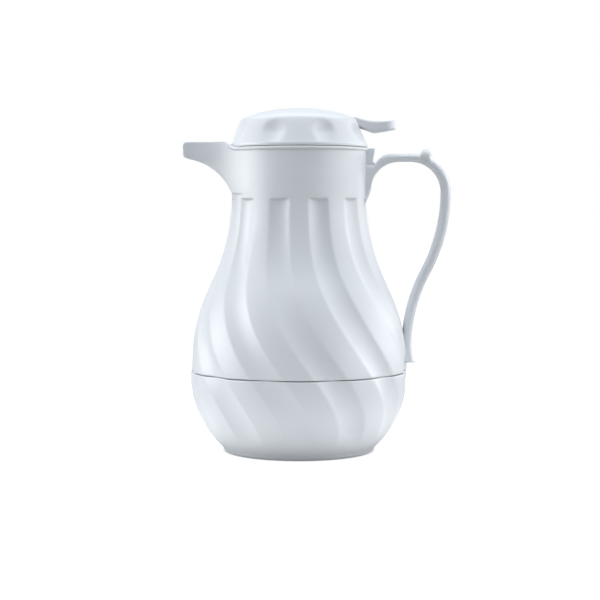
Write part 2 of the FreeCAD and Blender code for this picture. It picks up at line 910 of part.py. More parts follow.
def make_deck_screws():
    screws = []
    for place in post_places():
        shank = rod(deck_screw_radius, deck_top - deck_screw_length, deck_top, place)
        head = rod(deck_screw_head_radius, deck_top, deck_top + deck_screw_head_height, place)
        screws.append(shank.fuse(head))
    return Part.makeCompound(screws)


def make_stem_seal():
    bore = stem_radius + stem_clearance
    return ring(bore, bore + stem_seal_wall, deck_top - stem_seal_height, deck_top)


def make_valve_plunger():
    tip = cap_bottom + stem_cap_height - stem_cap_roof
    disc = rod(valve_disc_radius, disc_bottom, disc_top)
    collar = rod(stem_collar_radius, disc_top, disc_top + stem_collar_height)
    pilot = rod(valve_disc_radius - valve_seal_width, disc_bottom - stem_tip_height, disc_bottom)
    stem = rod(stem_radius, disc_top, tip)
    return disc.fuse([collar, pilot, stem])


def make_valve_seal():
    return ring(valve_disc_radius - valve_seal_width, valve_disc_radius, seat_level, disc_bottom)


def make_stem_cap():
    cap = rod(stem_cap_radius, cap_bottom, cap_bottom + stem_cap_height)
    socket = rod(stem_radius, cap_bottom - overrun, cap_bottom + stem_cap_height - stem_cap_roof)
    return cap.cut(socket)


def make_washer():
    bore = stem_radius + stem_clearance
    return ring(bore, washer_radius, guide_bottom - washer_thickness, guide_bottom)


def make_spring():
    """A coil of round wire between the valve disc and the washer, each quarter turn two arcs."""
    low = disc_top + spring_clearance + spring_wire_radius
    high = guide_bottom - washer_thickness - spring_clearance - spring_wire_radius
    points_per_turn = 16
    count = points_per_turn * spring_turn_count
    points = []
    for index in range(count + 1):
        turn = 360 * index / points_per_turn
        points.append(around_axis(spring_mean_radius, turn, low + (high - low) * index / count))
    edges = []
    for index in range(0, count, 2):
        edges.append(Part.Arc(*points[index : index + 3]).toShape())
    apart = []
    for index, point in enumerate(points):
        for other in points[index + points_per_turn // 2 :]:
            apart.append(point.distanceToPoint(other))
    print("least gap between the spring's turns", round(min(apart) - 2 * spring_wire_radius, 3))
    circle = Part.Circle(points[0], edges[0].tangentAt(edges[0].FirstParameter), spring_wire_radius)
    section = Part.Wire([circle.toShape()])
    return Part.Wire(edges).makePipeShell([section], True, False)


def make_lever():
    """The thumb lever: a dished tab behind the dome, a hub on the pin and a fork under the stem's cap."""
    tip_top = (lever_tip_reach, rim_height + lever_tip_top_rise)
    dip_top = (lever_dip_reach, rim_height + lever_dip_rise)
    neck_top = (lever_neck_reach, rim_height + lever_neck_rise)
    neck_bottom = (lever_neck_reach, neck_top[1] - lever_neck_thickness)
    dip_bottom = (lever_dip_reach, dip_top[1] - lever_dip_thickness)
    tip_bottom = (lever_tip_reach, tip_top[1] - lever_tip_thickness)
    dish_centre = arc_centre(neck_top, dip_top, tip_top)
    fork_top = cap_bottom - fork_gap
    fork_bottom = fork_top - fork_thickness
    hub_top = (pivot[0], pivot[1] + lever_hub_radius)
    hub_bottom = (pivot[0], pivot[1] - lever_hub_radius)
    side = traced(
        upright,
        (-fork_overhang, fork_top),
        (fork_root_reach, fork_top),
        hub_top,
        neck_top,
        (dish_centre, tip_top),
        tip_bottom,
        dip_bottom,
        neck_bottom,
        hub_bottom,
        (fork_root_reach, fork_bottom),
        (-fork_overhang, fork_bottom),
    )
    solid = across(side, lever_width)
    half = lever_width / 2
    end_x = lever_tip_reach - half
    end = rod(half, rim_height, crown_top, (end_x, 0))
    trunk = block((-fork_overhang, -half, rim_height), (end_x, half, crown_top))
    solid = solid.common(end.fuse(trunk))
    edges = []
    for edge in solid.Edges:
        middle = edge.valueAt((edge.FirstParameter + edge.LastParameter) / 2)
        box = edge.BoundBox
        stands = max(box.XLength, box.YLength) < overrun / 100
        on_side = half - abs(middle.y) < overrun / 100
        on_end = middle.x > end_x and half - math.dist((middle.x, middle.y), (end_x, 0)) < overrun / 100
        if (on_side or on_end) and not stands and middle.x > lever_neck_reach:
            edges.append(edge)
    solid = solid.makeFillet(lever_edge_radius, edges)
    slot_half = stem_radius + fork_slot_clearance
    slot = block(
        (-fork_overhang - overrun, -slot_half, rim_height),
        (fork_root_reach - slot_half, slot_half, crown_top),
    )
    slot_end = rod(slot_half, rim_height, crown_top, (fork_root_reach - slot_half, 0))
    return solid.cut([slot, slot_end, pin_rod(lever_pin_radius + lever_pin_clearance, overrun)])


def main():
    os.makedirs("parts", exist_ok=True)
    form = upper_form()
    pieces = {
        "upper_casing": make_upper_casing(form),
        "lower_casing": make_lower_casing(),
        "foam_fill_plug": make_fill_plug(),
        "inner_liner": make_liner(),
        "neck_seal": make_neck_seal(),
        "foam_insulation": make_foam(),
        "handle": make_handle(form),
        "handle_screws": make_handle_screws(),
        "lid_cover": make_lid_cover(),
        "rim_gasket": make_rim_gasket(),
        "lid_deck": make_lid_deck(),
        "deck_screws": make_deck_screws(),
        "stopper_body": make_stopper(),
        "stopper_gasket": make_stopper_gasket(),
        "stem_seal": make_stem_seal(),
        "valve_plunger": make_valve_plunger(),
        "valve_seal": make_valve_seal(),
        "stem_cap": make_stem_cap(),
        "valve_spring": make_spring(),
        "spring_washer": make_washer(),
        "thumb_lever": make_lever(),
        "lever_pin": pin_rod(lever_pin_radius, 0),
    }
    for name, shape in pieces.items():
        shape.exportStep("parts/" + name + ".step")
        print(name, len(shape.Solids), round(shape.Volume), shape.isValid())


main()
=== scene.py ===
# %% [markdown]
# # A white thermal beverage server
#
# The server is a foam-filled plastic jug: a fluted casing in two halves, a looped handle, a
# screw-in lid with a thumb lever, and a valve under it. The packed model holds every piece at its
# real size. Here the pieces that show get softer skins, and every surface gets a finish.

# %% Load the packed model
import json
import math

import bmesh
import bpy
import numpy as np
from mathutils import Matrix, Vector


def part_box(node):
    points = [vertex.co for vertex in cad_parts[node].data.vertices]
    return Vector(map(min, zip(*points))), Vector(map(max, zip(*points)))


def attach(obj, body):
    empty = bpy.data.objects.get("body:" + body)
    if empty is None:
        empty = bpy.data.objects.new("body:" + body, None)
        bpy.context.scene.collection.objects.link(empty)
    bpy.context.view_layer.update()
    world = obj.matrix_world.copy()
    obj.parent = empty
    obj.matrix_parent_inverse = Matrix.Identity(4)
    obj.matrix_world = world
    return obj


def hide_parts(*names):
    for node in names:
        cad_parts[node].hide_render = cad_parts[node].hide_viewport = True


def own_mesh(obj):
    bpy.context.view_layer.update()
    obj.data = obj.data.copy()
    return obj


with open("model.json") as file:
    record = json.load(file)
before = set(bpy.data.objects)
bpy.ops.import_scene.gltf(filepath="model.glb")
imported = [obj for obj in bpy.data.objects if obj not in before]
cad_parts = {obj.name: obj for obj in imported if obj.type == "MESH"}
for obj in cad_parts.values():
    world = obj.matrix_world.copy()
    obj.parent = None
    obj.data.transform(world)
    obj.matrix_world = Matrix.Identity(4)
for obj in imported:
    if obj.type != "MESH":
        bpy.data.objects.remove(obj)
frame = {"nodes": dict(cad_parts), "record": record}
scene = bpy.context.scene
nodes = frame["nodes"]
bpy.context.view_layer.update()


# %% [markdown]
# ## Node helpers
#
# Every finish is built from a few kinds of shader node. Each helper adds one node and feeds its
# sockets, so that a recipe further down reads as a list of what it mixes.

# %% Node helpers
mix_first, mix_second, mix_result = 6, 7, 2  # the colour sockets of a Mix node


def feed(tree, node, values):
    """Sets sockets of a node: an output is linked, a plain number or colour is set."""
    for place, value in values.items():
        if isinstance(value, bpy.types.NodeSocket):
            tree.links.new(value, node.inputs[place])
        else:
            node.inputs[place].default_value = value


def new_node(tree, kind, values=None, **settings):
    """Adds a node, makes its plain settings and feeds its sockets."""
    node = tree.nodes.new(kind)
    for name, value in settings.items():
        setattr(node, name, value)
    feed(tree, node, values or {})
    return node


def object_place(tree):
    """Where a point lies on its own piece."""
    return new_node(tree, "ShaderNodeTexCoord").outputs["Object"]


def mapped(tree, value, low, high, new_low=0.0, new_high=1.0, ease="LINEAR"):
    """Maps a value from one range to another, held at its ends."""
    values = {"Value": value, "From Min": low, "From Max": high}
    values.update({"To Min": new_low, "To Max": new_high})
    node = new_node(tree, "ShaderNodeMapRange", values, clamp=True, interpolation_type=ease)
    return node.outputs["Result"]


def noise(tree, where, scale, detail=2.0):
    """A noise texture's value at the given coordinates."""
    values = {"Vector": where, "Scale": scale, "Detail": detail}
    return new_node(tree, "ShaderNodeTexNoise", values).outputs["Fac"]


def math_step(tree, operation, first, second):
    values = {0: first, 1: second}
    return new_node(tree, "ShaderNodeMath", values, operation=operation).outputs[0]


def mixed(tree, share, first, second, blend="MIX"):
    values = {"Factor": share, mix_first: first, mix_second: second}
    node = new_node(tree, "ShaderNodeMix", values, data_type="RGBA", blend_type=blend)
    return node.outputs[mix_result]


def bumped(tree, height, distance, strength):
    """The normal that a height gives through a Bump node."""
    values = {"Height": height, "Distance": distance, "Strength": strength}
    return new_node(tree, "ShaderNodeBump", values).outputs["Normal"]


def finish(name, recipe, *details):
    """A new material whose Principled shader is fed with what the recipe mixes."""
    material = bpy.data.materials.new(name)
    material.use_nodes = True
    tree = material.node_tree
    feed(tree, tree.nodes["Principled BSDF"], recipe(tree, *details))
    return material


print("node helpers ready:", finish.__doc__)

# %% [markdown]
# ## Moulded plastic
#
# White housings like this one are injection moulded. The mould leaves a very fine orange peel, the
# plastic sinks a little where it is thick, and hands polish some areas more than others. One node
# group makes these effects for every white piece. It puts out a tint, a roughness and a height,
# and the shader itself stays in the material.

# %% The shared moulded-skin group
group_inputs = {"Plastic": "Color", "Thick spots": "Color"}
group_inputs.update({"Peel scale": "Float", "Gloss": "Float", "Dull": "Float"})
group_outputs = {"Tint": "Color", "Roughness": "Float", "Height": "Float"}
sink_height = 0.6


def moulded_skin_group():
    group = bpy.data.node_groups.new("moulded_skin", "ShaderNodeTree")
    for way, sockets in (("INPUT", group_inputs), ("OUTPUT", group_outputs)):
        for name, kind in sockets.items():
            group.interface.new_socket(name, in_out=way, socket_type="NodeSocket" + kind)
    given = new_node(group, "NodeGroupInput").outputs
    where = object_place(group)
    broad = noise(group, where, scale=22.0, detail=3.0)
    hands = noise(group, where, scale=70.0, detail=4.0)
    peel = noise(group, where, scale=given["Peel scale"], detail=1.5)
    sink = mapped(group, broad, low=0.35, high=0.7)
    rub = mapped(group, hands, low=0.3, high=0.72)
    tint = mixed(group, sink, given["Plastic"], given["Thick spots"])
    spread = math_step(group, "SUBTRACT", given["Dull"], given["Gloss"])
    rough = math_step(group, "ADD", given["Gloss"], math_step(group, "MULTIPLY", rub, spread))
    height = math_step(group, "ADD", peel, math_step(group, "MULTIPLY", broad, sink_height))
    new_node(group, "NodeGroupOutput", {"Tint": tint, "Roughness": rough, "Height": height})
    return group


moulded_skin = moulded_skin_group()
print("group:", moulded_skin.name, [item.name for item in moulded_skin.interface.items_tree])

# %% [markdown]
# ## The white pieces
#
# Casing, lid, liner and valve are moulded in much the same white, at different polish. The casing
# is a soft satin, the lid a little glossier. A trace of light scatters under the skin of white
# plastic, so the shader has a small subsurface share.

# %% White plastics
plastic_index = 1.49
scatter_share = 0.05
scatter_depth = (0.0016, 0.0015, 0.0013)
# What goes into the group, in the order of its inputs.
white_kinds = {
    "casing_white": ((0.80, 0.815, 0.835, 1), (0.775, 0.792, 0.815, 1), 1100.0, 0.33, 0.39),
    "lid_white": ((0.815, 0.83, 0.85, 1), (0.79, 0.806, 0.828, 1), 1300.0, 0.29, 0.325),
    "liner_white": ((0.79, 0.79, 0.77, 1), (0.75, 0.745, 0.715, 1), 700.0, 0.18, 0.30),
    "valve_white": ((0.77, 0.775, 0.775, 1), (0.73, 0.737, 0.74, 1), 1500.0, 0.28, 0.42),
}


def white_plastic(tree, *kind):
    values = dict(zip(group_inputs, kind))
    made = new_node(tree, "ShaderNodeGroup", values, node_tree=moulded_skin).outputs
    return {
        "Base Color": made["Tint"],
        "Roughness": made["Roughness"],
        "Normal": bumped(tree, made["Height"], distance=0.00012, strength=0.16),
        "IOR": plastic_index,
        "Subsurface Weight": scatter_share,
        "Subsurface Radius": scatter_depth,
        "Subsurface Scale": 1.0,
    }


whites = {name: finish(name, white_plastic, *kind) for name, kind in white_kinds.items()}
print("white plastics:", list(whites))

# %% [markdown]
# ## Rubber, foam and steel
#
# The seals are grey silicone with a powdery bloom, the filling is a closed-cell foam, and the pin,
# screws, washer and spring are drawn steel. A lifted lid shows most of them.

# %% Rubber, foam and steel
rubber_plain, rubber_bloom = (0.23, 0.24, 0.25, 1), (0.31, 0.32, 0.33, 1)
# The first foam colour is the foam darkened as painted shade in the pits of its cells.
foam_pit_shade, foam_skin = (0.62, 0.50, 0.27, 1), (0.80, 0.70, 0.45, 1)
steel_dark, steel_light = (0.52, 0.53, 0.55, 1), (0.68, 0.69, 0.70, 1)
drawing_stretch = (1.0, 0.06, 1.0)


def silicone(tree):
    where = object_place(tree)
    bloom = noise(tree, where, scale=160.0, detail=4.0)
    return {
        "Base Color": mixed(tree, mapped(tree, bloom, 0.4, 0.7), rubber_plain, rubber_bloom),
        "Roughness": mapped(tree, bloom, 0.3, 0.7, new_low=0.55, new_high=0.75),
        "Normal": bumped(tree, noise(tree, where, scale=2200.0), distance=0.00008, strength=0.25),
    }


def cell_foam(tree):
    where = object_place(tree)
    cells = new_node(tree, "ShaderNodeTexVoronoi", {"Vector": where, "Scale": 700.0}, feature="F1")
    away = cells.outputs["Distance"]
    dull = noise(tree, where, scale=90.0)
    return {
        # Painted shade: the colour darkens towards the pit of each cell, where the bump is lowest.
        "Base Color": mixed(tree, mapped(tree, away, 0.1, 0.7), foam_pit_shade, foam_skin),
        "Roughness": mapped(tree, dull, 0.3, 0.7, new_low=0.8, new_high=0.95),
        "Normal": bumped(tree, away, distance=0.0006, strength=0.6),
    }


def drawn_steel(tree):
    stretch = {"Vector": object_place(tree), "Scale": drawing_stretch}
    drawn = new_node(tree, "ShaderNodeMapping", stretch).outputs["Vector"]
    lines = noise(tree, drawn, scale=3000.0, detail=3.0)
    return {
        "Base Color": mixed(tree, mapped(tree, lines, 0.3, 0.7), steel_dark, steel_light),
        "Roughness": mapped(tree, lines, 0.3, 0.7, new_low=0.22, new_high=0.38),
        "Normal": bumped(tree, lines, distance=0.00002, strength=0.3),
        "Metallic": 1.0,
    }


seal_grey = finish("seal_grey", silicone)
filling_foam = finish("filling_foam", cell_foam)
pin_steel = finish("pin_steel", drawn_steel)
print("other finishes:", seal_grey.name, filling_foam.name, pin_steel.name)

# %% [markdown]
# ## Finishes on the carried-over pieces
#
# Lever, stopper, seals and the other inner pieces keep the packed model's own shape. Their faces
# are shaded smooth, and an edge split keeps the moulded corners crisp. Casings, lid cover, handle
# and spring get new skins further down.

# %% Dress the carried-over pieces
finish_of = {
    "white_casing": whites["casing_white"],
    "white_lid": whites["lid_white"],
    "white_liner": whites["liner_white"],
    "white_valve": whites["valve_white"],
    "grey_rubber": seal_grey,
    "foam": filling_foam,
    "steel": pin_steel,
}
slot_of_node = {entry["node"]: entry["material_slot"] for entry in frame["record"]["subparts"]}
crease = math.radians(32)
weld_distance = 0.000002


def shade_smooth(mesh):
    """Shades every face of a mesh smooth."""
    mesh.polygons.foreach_set("use_smooth", [True] * len(mesh.polygons))


for node_name, piece in nodes.items():
    piece.data.materials.clear()
    piece.data.materials.append(finish_of[slot_of_node[node_name]])
    shade_smooth(piece.data)
    weld = piece.modifiers.new("weld", "WELD")
    weld.merge_threshold = weld_distance
    split = piece.modifiers.new("crisp_corners", "EDGE_SPLIT")
    split.split_angle = crease
print("dressed:", {name: slot_of_node[name] for name in sorted(nodes)})

# %% [markdown]
# ## The casing's side line
#
# The body is turned round an upright axis. Its side line is a straight neck, a hollow arc, a full
# arc down to the belly and a tighter arc to the base, each running into the next without a kink.
# A function of height gives the radius, so every ring of the skin can ask for it.

# %% Side line of the body
rim_height = 0.230
neck_radius = 0.051
shoulder_top = 0.195
belly_radius = 0.0825
belly_height = 0.059
base_radius = 0.0544
hollow_arc_share = 0.479


def chord(radius, away):
    """Half the chord of a circle, at a distance from its centre."""
    return np.sqrt(np.maximum(radius**2 - away**2, 0))


def rise_radius(span, rise):
    """The radius of an arc that rises by a height over a span and ends level."""
    return (span**2 + rise**2) / (2 * rise)


def s_bend(start, end, share):
    """Two arcs, upright at their outer ends, that meet without a kink: centre, joint, centre."""
    across, up = end[0] - start[0], end[1] - start[1]
    joint = (start[0] + across * share, start[1] + up * share)
    both = (across**2 + up**2) / (2 * across)
    return (start[0] + both * share, start[1]), joint, (end[0] - both * (1 - share), end[1])


hollow_centre, shoulder_joint, full_centre = s_bend(
    (neck_radius, shoulder_top), (belly_radius, belly_height), hollow_arc_share
)
base_arc_radius = rise_radius(belly_height, belly_radius - base_radius)


def side_radius(z):
    """The casing's radius at a height, before the flutes."""
    z = np.asarray(z, float)
    from_belly = z - belly_height
    hollow = hollow_centre[0] - chord(hollow_centre[0] - neck_radius, z - shoulder_top)
    full = full_centre[0] + chord(belly_radius - full_centre[0], from_belly)
    low = belly_radius - base_arc_radius + chord(base_arc_radius, from_belly)
    zones = [z >= shoulder_top, z >= shoulder_joint[1], z >= belly_height]
    return np.select(zones, [neck_radius, hollow, full], low)


print("radius at the base:", round(float(side_radius(0.0)), 4))

# %% [markdown]
# ## The swirling flutes
#
# Eleven shallow hollows start upright under the neck, lean over the belly and fade above the foot.
# They could be carved with booleans, but a skin whose columns follow the swirl keeps each flute's
# edge along a row of faces, so it stays smooth. A soft maximum of "hollow" and "plain" rounds it.

# %% Flute depth
flute_count = 11
flute_width_share = 0.53
flute_depth = 0.0023
flute_top = 0.192
flute_toe = 0.008
flute_fade = 0.016
flute_end_ramp = 0.0015
flute_end_softness = 0.3
swirl_turn = math.radians(50)
swirl_power = 1.48
edge_softness = 0.00028
seam_round = 0.0006
columns = 484
first_column_turn = -math.pi / 2
column_turn = np.arange(columns) * 2 * np.pi / columns
flute_phase = (column_turn * flute_count / (2 * np.pi)) % 1 - 0.5


def soft_max(a, b, soft):
    return (a + b + np.sqrt((a - b) ** 2 + soft**2)) / 2


def soft_min(a, b, soft):
    return (a + b - np.sqrt((a - b) ** 2 + soft**2)) / 2


def smooth_step(x):
    x = np.clip(x, 0, 1)
    return x * x * (3 - 2 * x)


def column_angle(z):
    """The angle of every column at a height: the columns lean with the swirl."""
    way = np.clip((flute_top - z) / (flute_top - flute_toe), 0, 1)
    lean = swirl_turn * math.sin(math.pi / 2 * way**swirl_power) ** 2
    return first_column_turn + column_turn + lean


def flute_at(z):
    """How deep every column lies under the plain side at a height."""
    hollow = 1 - (flute_phase / (flute_width_share / 2)) ** 2
    end = (flute_top - z) / flute_end_ramp
    cut = flute_depth * soft_min(hollow, end, flute_end_softness)
    fade = smooth_step((z - flute_toe) / flute_fade)
    return soft_max(cut, 0, edge_softness) * fade


def ring(radius, z, angle):
    """One ring of points round the axis; radius and height may change round it."""
    z = np.broadcast_to(z, angle.shape)
    return np.stack([radius * np.cos(angle), radius * np.sin(angle), z], 1)


def fluted_ring(z, inset=0.0):
    return ring(side_radius(z) - flute_at(z) - inset, z, column_angle(z))


def seam_rings(edge, up, turns):
    """Rings round a soft edge at the seam; the body is above or below it."""
    rolls = [(1 - math.sin(turn), 1 - math.cos(turn)) for turn in np.radians(turns)]
    return [fluted_ring(edge + up * seam_round * rise, seam_round * inset) for rise, inset in rolls]


print("deepest flute at the belly:", round(flute_at(belly_height).max() * 1000, 2), "mm")

# %% [markdown]
# ## From rings to a skin
#
# A piece is a stack of rings joined by faces. This helper joins them, closes the ends where asked,
# turns the faces outwards by the sign of the volume, and gives the piece its finish, body and
# slot.

# %% Skin helper
def new_piece(name, points, faces, material):
    """Puts a smooth mesh in the scene as an object with one finish."""
    mesh = bpy.data.meshes.new(name)
    mesh.from_pydata(points, [], faces)
    mesh.materials.append(material)
    shade_smooth(mesh)
    mesh.update()
    piece = bpy.data.objects.new(name, mesh)
    scene.collection.objects.link(piece)
    return piece


def ring_faces(count, across, closed=False):
    """The faces that join a stack of rings."""
    steps = np.arange(count if closed else count - 1)
    row = steps[:, None] * across
    after = ((steps + 1) % count)[:, None] * across
    here = np.arange(across)[None, :]
    beside = (here + 1) % across
    return np.stack([row + here, row + beside, after + beside, after + here], 2).reshape(-1, 4)


def skin(name, rings, body, slot_name, closed=False, tips=False):
    """Joins a stack of rings into one smooth mesh, closed to a tube or with a tip at each end."""
    rings = np.asarray(rings)
    count, across, _ = rings.shape
    points = rings.reshape(-1, 3)
    quads = ring_faces(count, across, closed)
    first, second, third, fourth = (points[quads[:, k]] for k in range(4))
    volume = (first * (np.cross(second, third) + np.cross(third, fourth))).sum()
    faces = quads.tolist()
    corners = points.tolist()
    if tips:
        low, tip = (count - 1) * across, len(corners)
        corners += [rings[0].mean(0).tolist(), rings[-1].mean(0).tolist()]
        faces += [[tip, (k + 1) % across, k] for k in range(across)]
        faces += [[tip + 1, low + k, low + (k + 1) % across] for k in range(across)]
    if volume < 0:
        faces = [face[::-1] for face in faces]
    piece = new_piece(name, corners, faces, finish_of[slot_name])
    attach(piece, body)
    return piece


print("skin helper ready:", skin.__doc__)

# %% [markdown]
# ## The spout's plan
#
# Seen from above the spout leaves the neck tangentially and runs in on two hollow arcs to a narrow
# tip with a notch. Each column of the skin near the spout gets a point on that plan, outside and
# inside. Where the underside cuts the spout away, the column is pulled back towards the round
# neck.

# %% Plan of the spout
spout_reach = 0.0878
spout_tip_half = 0.0085
spout_wall = 0.0026
spout_plan_radius = 0.06094
spout_lean = math.radians(38.34)
casing_wall = 0.0038
chamber_radius = neck_radius - casing_wall
tip_corner = 0.0010
thicker_from = 0.6
wall_steps, front_steps, corner_steps = 240, 30, 10
spout_column = 363
root_column = spout_lean / (2 * math.pi / columns)
column_from_tip = (np.arange(columns) - spout_column + columns // 2) % columns - columns // 2
half_index = np.abs(column_from_tip)
in_spout = half_index < root_column
# Knots: how far along the plan a column lies, by its number from the tip.
outer_knots = [(0, 0), (7, 0.0052), (11, 0.0064), (15, 0.0092)]
inner_knots = [(0, 0), (7, 0.0046), (11, 0.0062)]


def places_along(line, distances):
    """Points at given distances along a line of points, and the line's length."""
    steps = np.linalg.norm(np.diff(line, axis=0), axis=1)
    gone = np.concatenate([[0], np.cumsum(steps)])
    return np.stack([np.interp(distances, gone, line[:, k]) for k in range(2)], 1), gone[-1]


def evenly(line, count):
    """The same line, cut into even steps."""
    steps = np.linalg.norm(np.diff(line, axis=0), axis=1)
    line = line[np.concatenate([[True], steps > 1e-9])]
    return places_along(line, np.linspace(0, places_along(line, [0.0])[1], count))[0]


def spout_line(inset):
    """Half of the plan, from the tip's middle to the neck, set in by the wall if asked."""
    corner_turn = math.asin(tip_corner / spout_plan_radius)
    wall_turn = np.linspace(corner_turn, math.pi / 2 - spout_lean, wall_steps)
    away = np.stack([np.sin(wall_turn), -np.cos(wall_turn)], 1)
    middle = np.array([-spout_reach, spout_tip_half + spout_plan_radius])
    near_root = smooth_step((np.linspace(0, 1, wall_steps) - thicker_from) / (1 - thicker_from))
    thick = (spout_wall + (casing_wall - spout_wall) * near_root) * inset
    wall = middle + away * (spout_plan_radius + thick)[:, None]
    half = wall[0, 1] - tip_corner
    front_x = np.full(front_steps, tip_corner * inset - spout_reach)
    front = np.stack([front_x, np.linspace(0, half, front_steps)], 1)
    if inset:
        return np.concatenate([front, wall])
    bend = np.linspace(math.pi, math.pi / 2, corner_steps)[1:-1]
    bend_x = -spout_reach + tip_corner + tip_corner * np.cos(bend)
    corner = np.stack([bend_x, half + tip_corner * np.sin(bend)], 1)
    return np.concatenate([front, corner, wall])


def column_plan(inset, knots, neck):
    """Plan points of every column on the spout, and of the round neck elsewhere."""
    line = spout_line(inset)
    length = places_along(line, [0.0])[1]
    numbers, distances = zip(*knots, (root_column, length))
    place, _ = places_along(line, np.interp(half_index, numbers, distances))
    place[:, 1] *= np.where(column_from_tip > 0, -1, 1)
    round_neck = ring(neck, 0, column_angle(flute_top))[:, :2]
    return np.where(in_spout[:, None], place, round_neck), round_neck


outer_plan, outer_neck = column_plan(False, outer_knots, neck_radius)
inner_plan, inner_neck = column_plan(True, inner_knots, chamber_radius)
print("spout columns:", int(in_spout.sum()))

# %% [markdown]
# ## The rim
#
# The rim is level round the lid and climbs a little on the spout. The tip's upper corner is
# rounded, and a notch in the tip lets the drink break off cleanly.

# %% Height of the rim
spout_rise = 0.0045
rise_start, rise_run = 0.0525, 0.007
tip_top_round = 0.0034
notch_level = 0.2254
notch_columns, notch_fade_columns = 6.0, 5.0
notch_share = 1 - smooth_step((half_index - notch_columns) / notch_fade_columns)
notch_share = np.where(in_spout, notch_share, 0)
to_tip = np.clip(outer_plan[:, 0] + spout_reach, 0, tip_top_round)
tip_drop = tip_top_round - chord(tip_top_round, tip_top_round - to_tip)


def rim_level(plan):
    """The rim's height along a plan: level round the lid, higher on the spout, low in the notch."""
    away = np.linalg.norm(plan, axis=1)
    level = rim_height + spout_rise * smooth_step((away - rise_start) / rise_run) - tip_drop
    return level + (notch_level - level) * notch_share


rim_top = rim_level(outer_plan)
rim_inner = rim_level(inner_plan)
print("rim from", round(rim_top.min(), 4), "to", round(rim_top.max(), 4))

# %% [markdown]
# ## Rings with a spout
#
# Seen from the side, the spout's underside is one hollow arc. A ring keeps to the spout's plan as
# far as that arc allows and falls back to the round neck elsewhere. The change is soft, and less
# so at the spout's foot, where it has to meet the plain neck.

# %% Ring helper for the neck and spout
under_centre = (-0.0904, 0.1792)
under_radius = 0.04286
floor_radius = under_radius + spout_wall
steepest_reach = 0.0104
spout_foot = 0.1952
spout_foot_fade = 0.0040
spout_crown = 0.0016
root_softness = 0.0012
least_span = 0.0002
under_softness, floor_softness = 0.003, 0.002


def underside_reach(z, radius):
    """How far out the underside is at a height; above the tip it runs on in a straight line."""
    turn_rise = math.sqrt(radius**2 - steepest_reach**2)
    climb = z - under_centre[1]
    arc_reach = under_centre[0] + chord(radius, climb)
    slope = turn_rise / steepest_reach
    line_reach = under_centre[0] + steepest_reach - slope * (climb - turn_rise)
    return np.where(climb < turn_rise, arc_reach, line_reach)


def plan_outward(plan):
    """Directions square to a plan line, away from the axis."""
    along = np.roll(plan, -1, 0) - np.roll(plan, 1, 0)
    square = np.stack([along[:, 1], -along[:, 0]], 1)
    square /= np.maximum(np.linalg.norm(square, axis=1), 1e-9)[:, None]
    return square * np.sign((square * plan).sum(1) + 1e-12)[:, None]


def casing_ring(side, z, offset=0.0):
    """A ring at the heights z: on the spout's plan, or pulled back where the underside cuts it."""
    plan, neck, radius, soft, outward = side
    z = np.broadcast_to(z, (columns,)).astype(float)
    crown = spout_crown * np.minimum(1, (plan[:, 1] / spout_tip_half) ** 2)
    x = soft_max(plan[:, 0], underside_reach(z - crown, radius), soft)
    root_soft = root_softness * smooth_step((z - spout_foot) / spout_foot_fade)
    x = np.minimum(soft_min(x, neck[:, 0], root_soft), neck[:, 0])
    span = plan[:, 0] - neck[:, 0]
    pulled = np.clip((x - neck[:, 0]) / np.where(span == 0, 1, span), 0, 1)
    share = np.where(in_spout & (np.abs(span) > least_span), pulled, 1)
    place = neck + share[:, None] * (plan - neck)
    place = place + outward * np.broadcast_to(offset, (columns,))[:, None]
    return np.concatenate([place, z[:, None]], 1)


def arc_levels(radius, high, low, count):
    """Heights of rings that are spread evenly along the underside's arc."""
    turns = [math.acos((level - under_centre[1]) / radius) for level in (high, low)]
    return under_centre[1] + radius * np.cos(np.linspace(*turns, count))


def edge_tuck(radius, drop):
    """How far a rounded edge lies behind its face, at a depth under its top."""
    return radius - chord(radius, max(radius - drop, 0))


inner_out = plan_outward(inner_plan) * (1 - notch_share)[:, None]
outside = (outer_plan, outer_neck, under_radius, under_softness, plan_outward(outer_plan))
inside = (inner_plan, inner_neck, floor_radius, floor_softness, inner_out)
print("the spout's underside meets the neck near", spout_foot)

# %% [markdown]
# ## The upper casing
#
# The skin goes down the outside, round the seam's rebate, up the inside and over the rim, as one
# closed surface. Near the rim the rings follow a small bead, which runs out along the spout into a
# rounded lip.

# %% Upper casing, outside
seam_edge = 0.0616
bead_radius = 0.0013
bead_end, bead_fade = 0.0522, 0.006
lip_round = 0.0010
lip_floor, lip_room = 0.2232, 0.0028
lip_low = 0.2230
lip_shares = np.linspace(0, 1, 10)[1:]
bead_drops = np.array([0.0, 0.06, 0.18, 0.36, 0.6, 0.95, 1.3, 1.7, 2.05, 2.35, 2.6]) / 1000
# Bands of rings: from, to, how many.
tip_band = (0.2227, 0.2199, 9)
underside_band = (0.2196, 0.1954, 24)
flute_end_band = (0.1948, 0.1872, 20)
belly_band = (0.1862, seam_edge + seam_round, 72)

bead_share = 1 - smooth_step((np.linalg.norm(outer_plan, axis=1) - bead_end) / bead_fade)
bead_share = np.where(in_spout, bead_share, 1)
rim_scale = np.clip((rim_top - lip_floor) / lip_room, 0, 1)
casing_rings = []
for drop in bead_drops:
    swell = chord(bead_radius, bead_radius - drop)
    shift = bead_share * swell - (1 - bead_share) * edge_tuck(lip_round, drop)
    casing_rings.append(casing_ring(outside, rim_top - drop * rim_scale, shift))
low_of_bead = rim_top - bead_drops[-1] * rim_scale
neck_levels = [low_of_bead + (lip_low - low_of_bead) * share for share in lip_shares]
neck_levels += [*np.linspace(*tip_band), *arc_levels(under_radius, *underside_band)]
casing_rings += [casing_ring(outside, level) for level in neck_levels]
fluted_levels = [*np.linspace(*flute_end_band), *np.linspace(*belly_band)]
casing_rings += [fluted_ring(level) for level in fluted_levels]
casing_rings += seam_rings(seam_edge, 1, [30, 60, 90])
print("outside of the upper casing:", len(casing_rings), "rings")

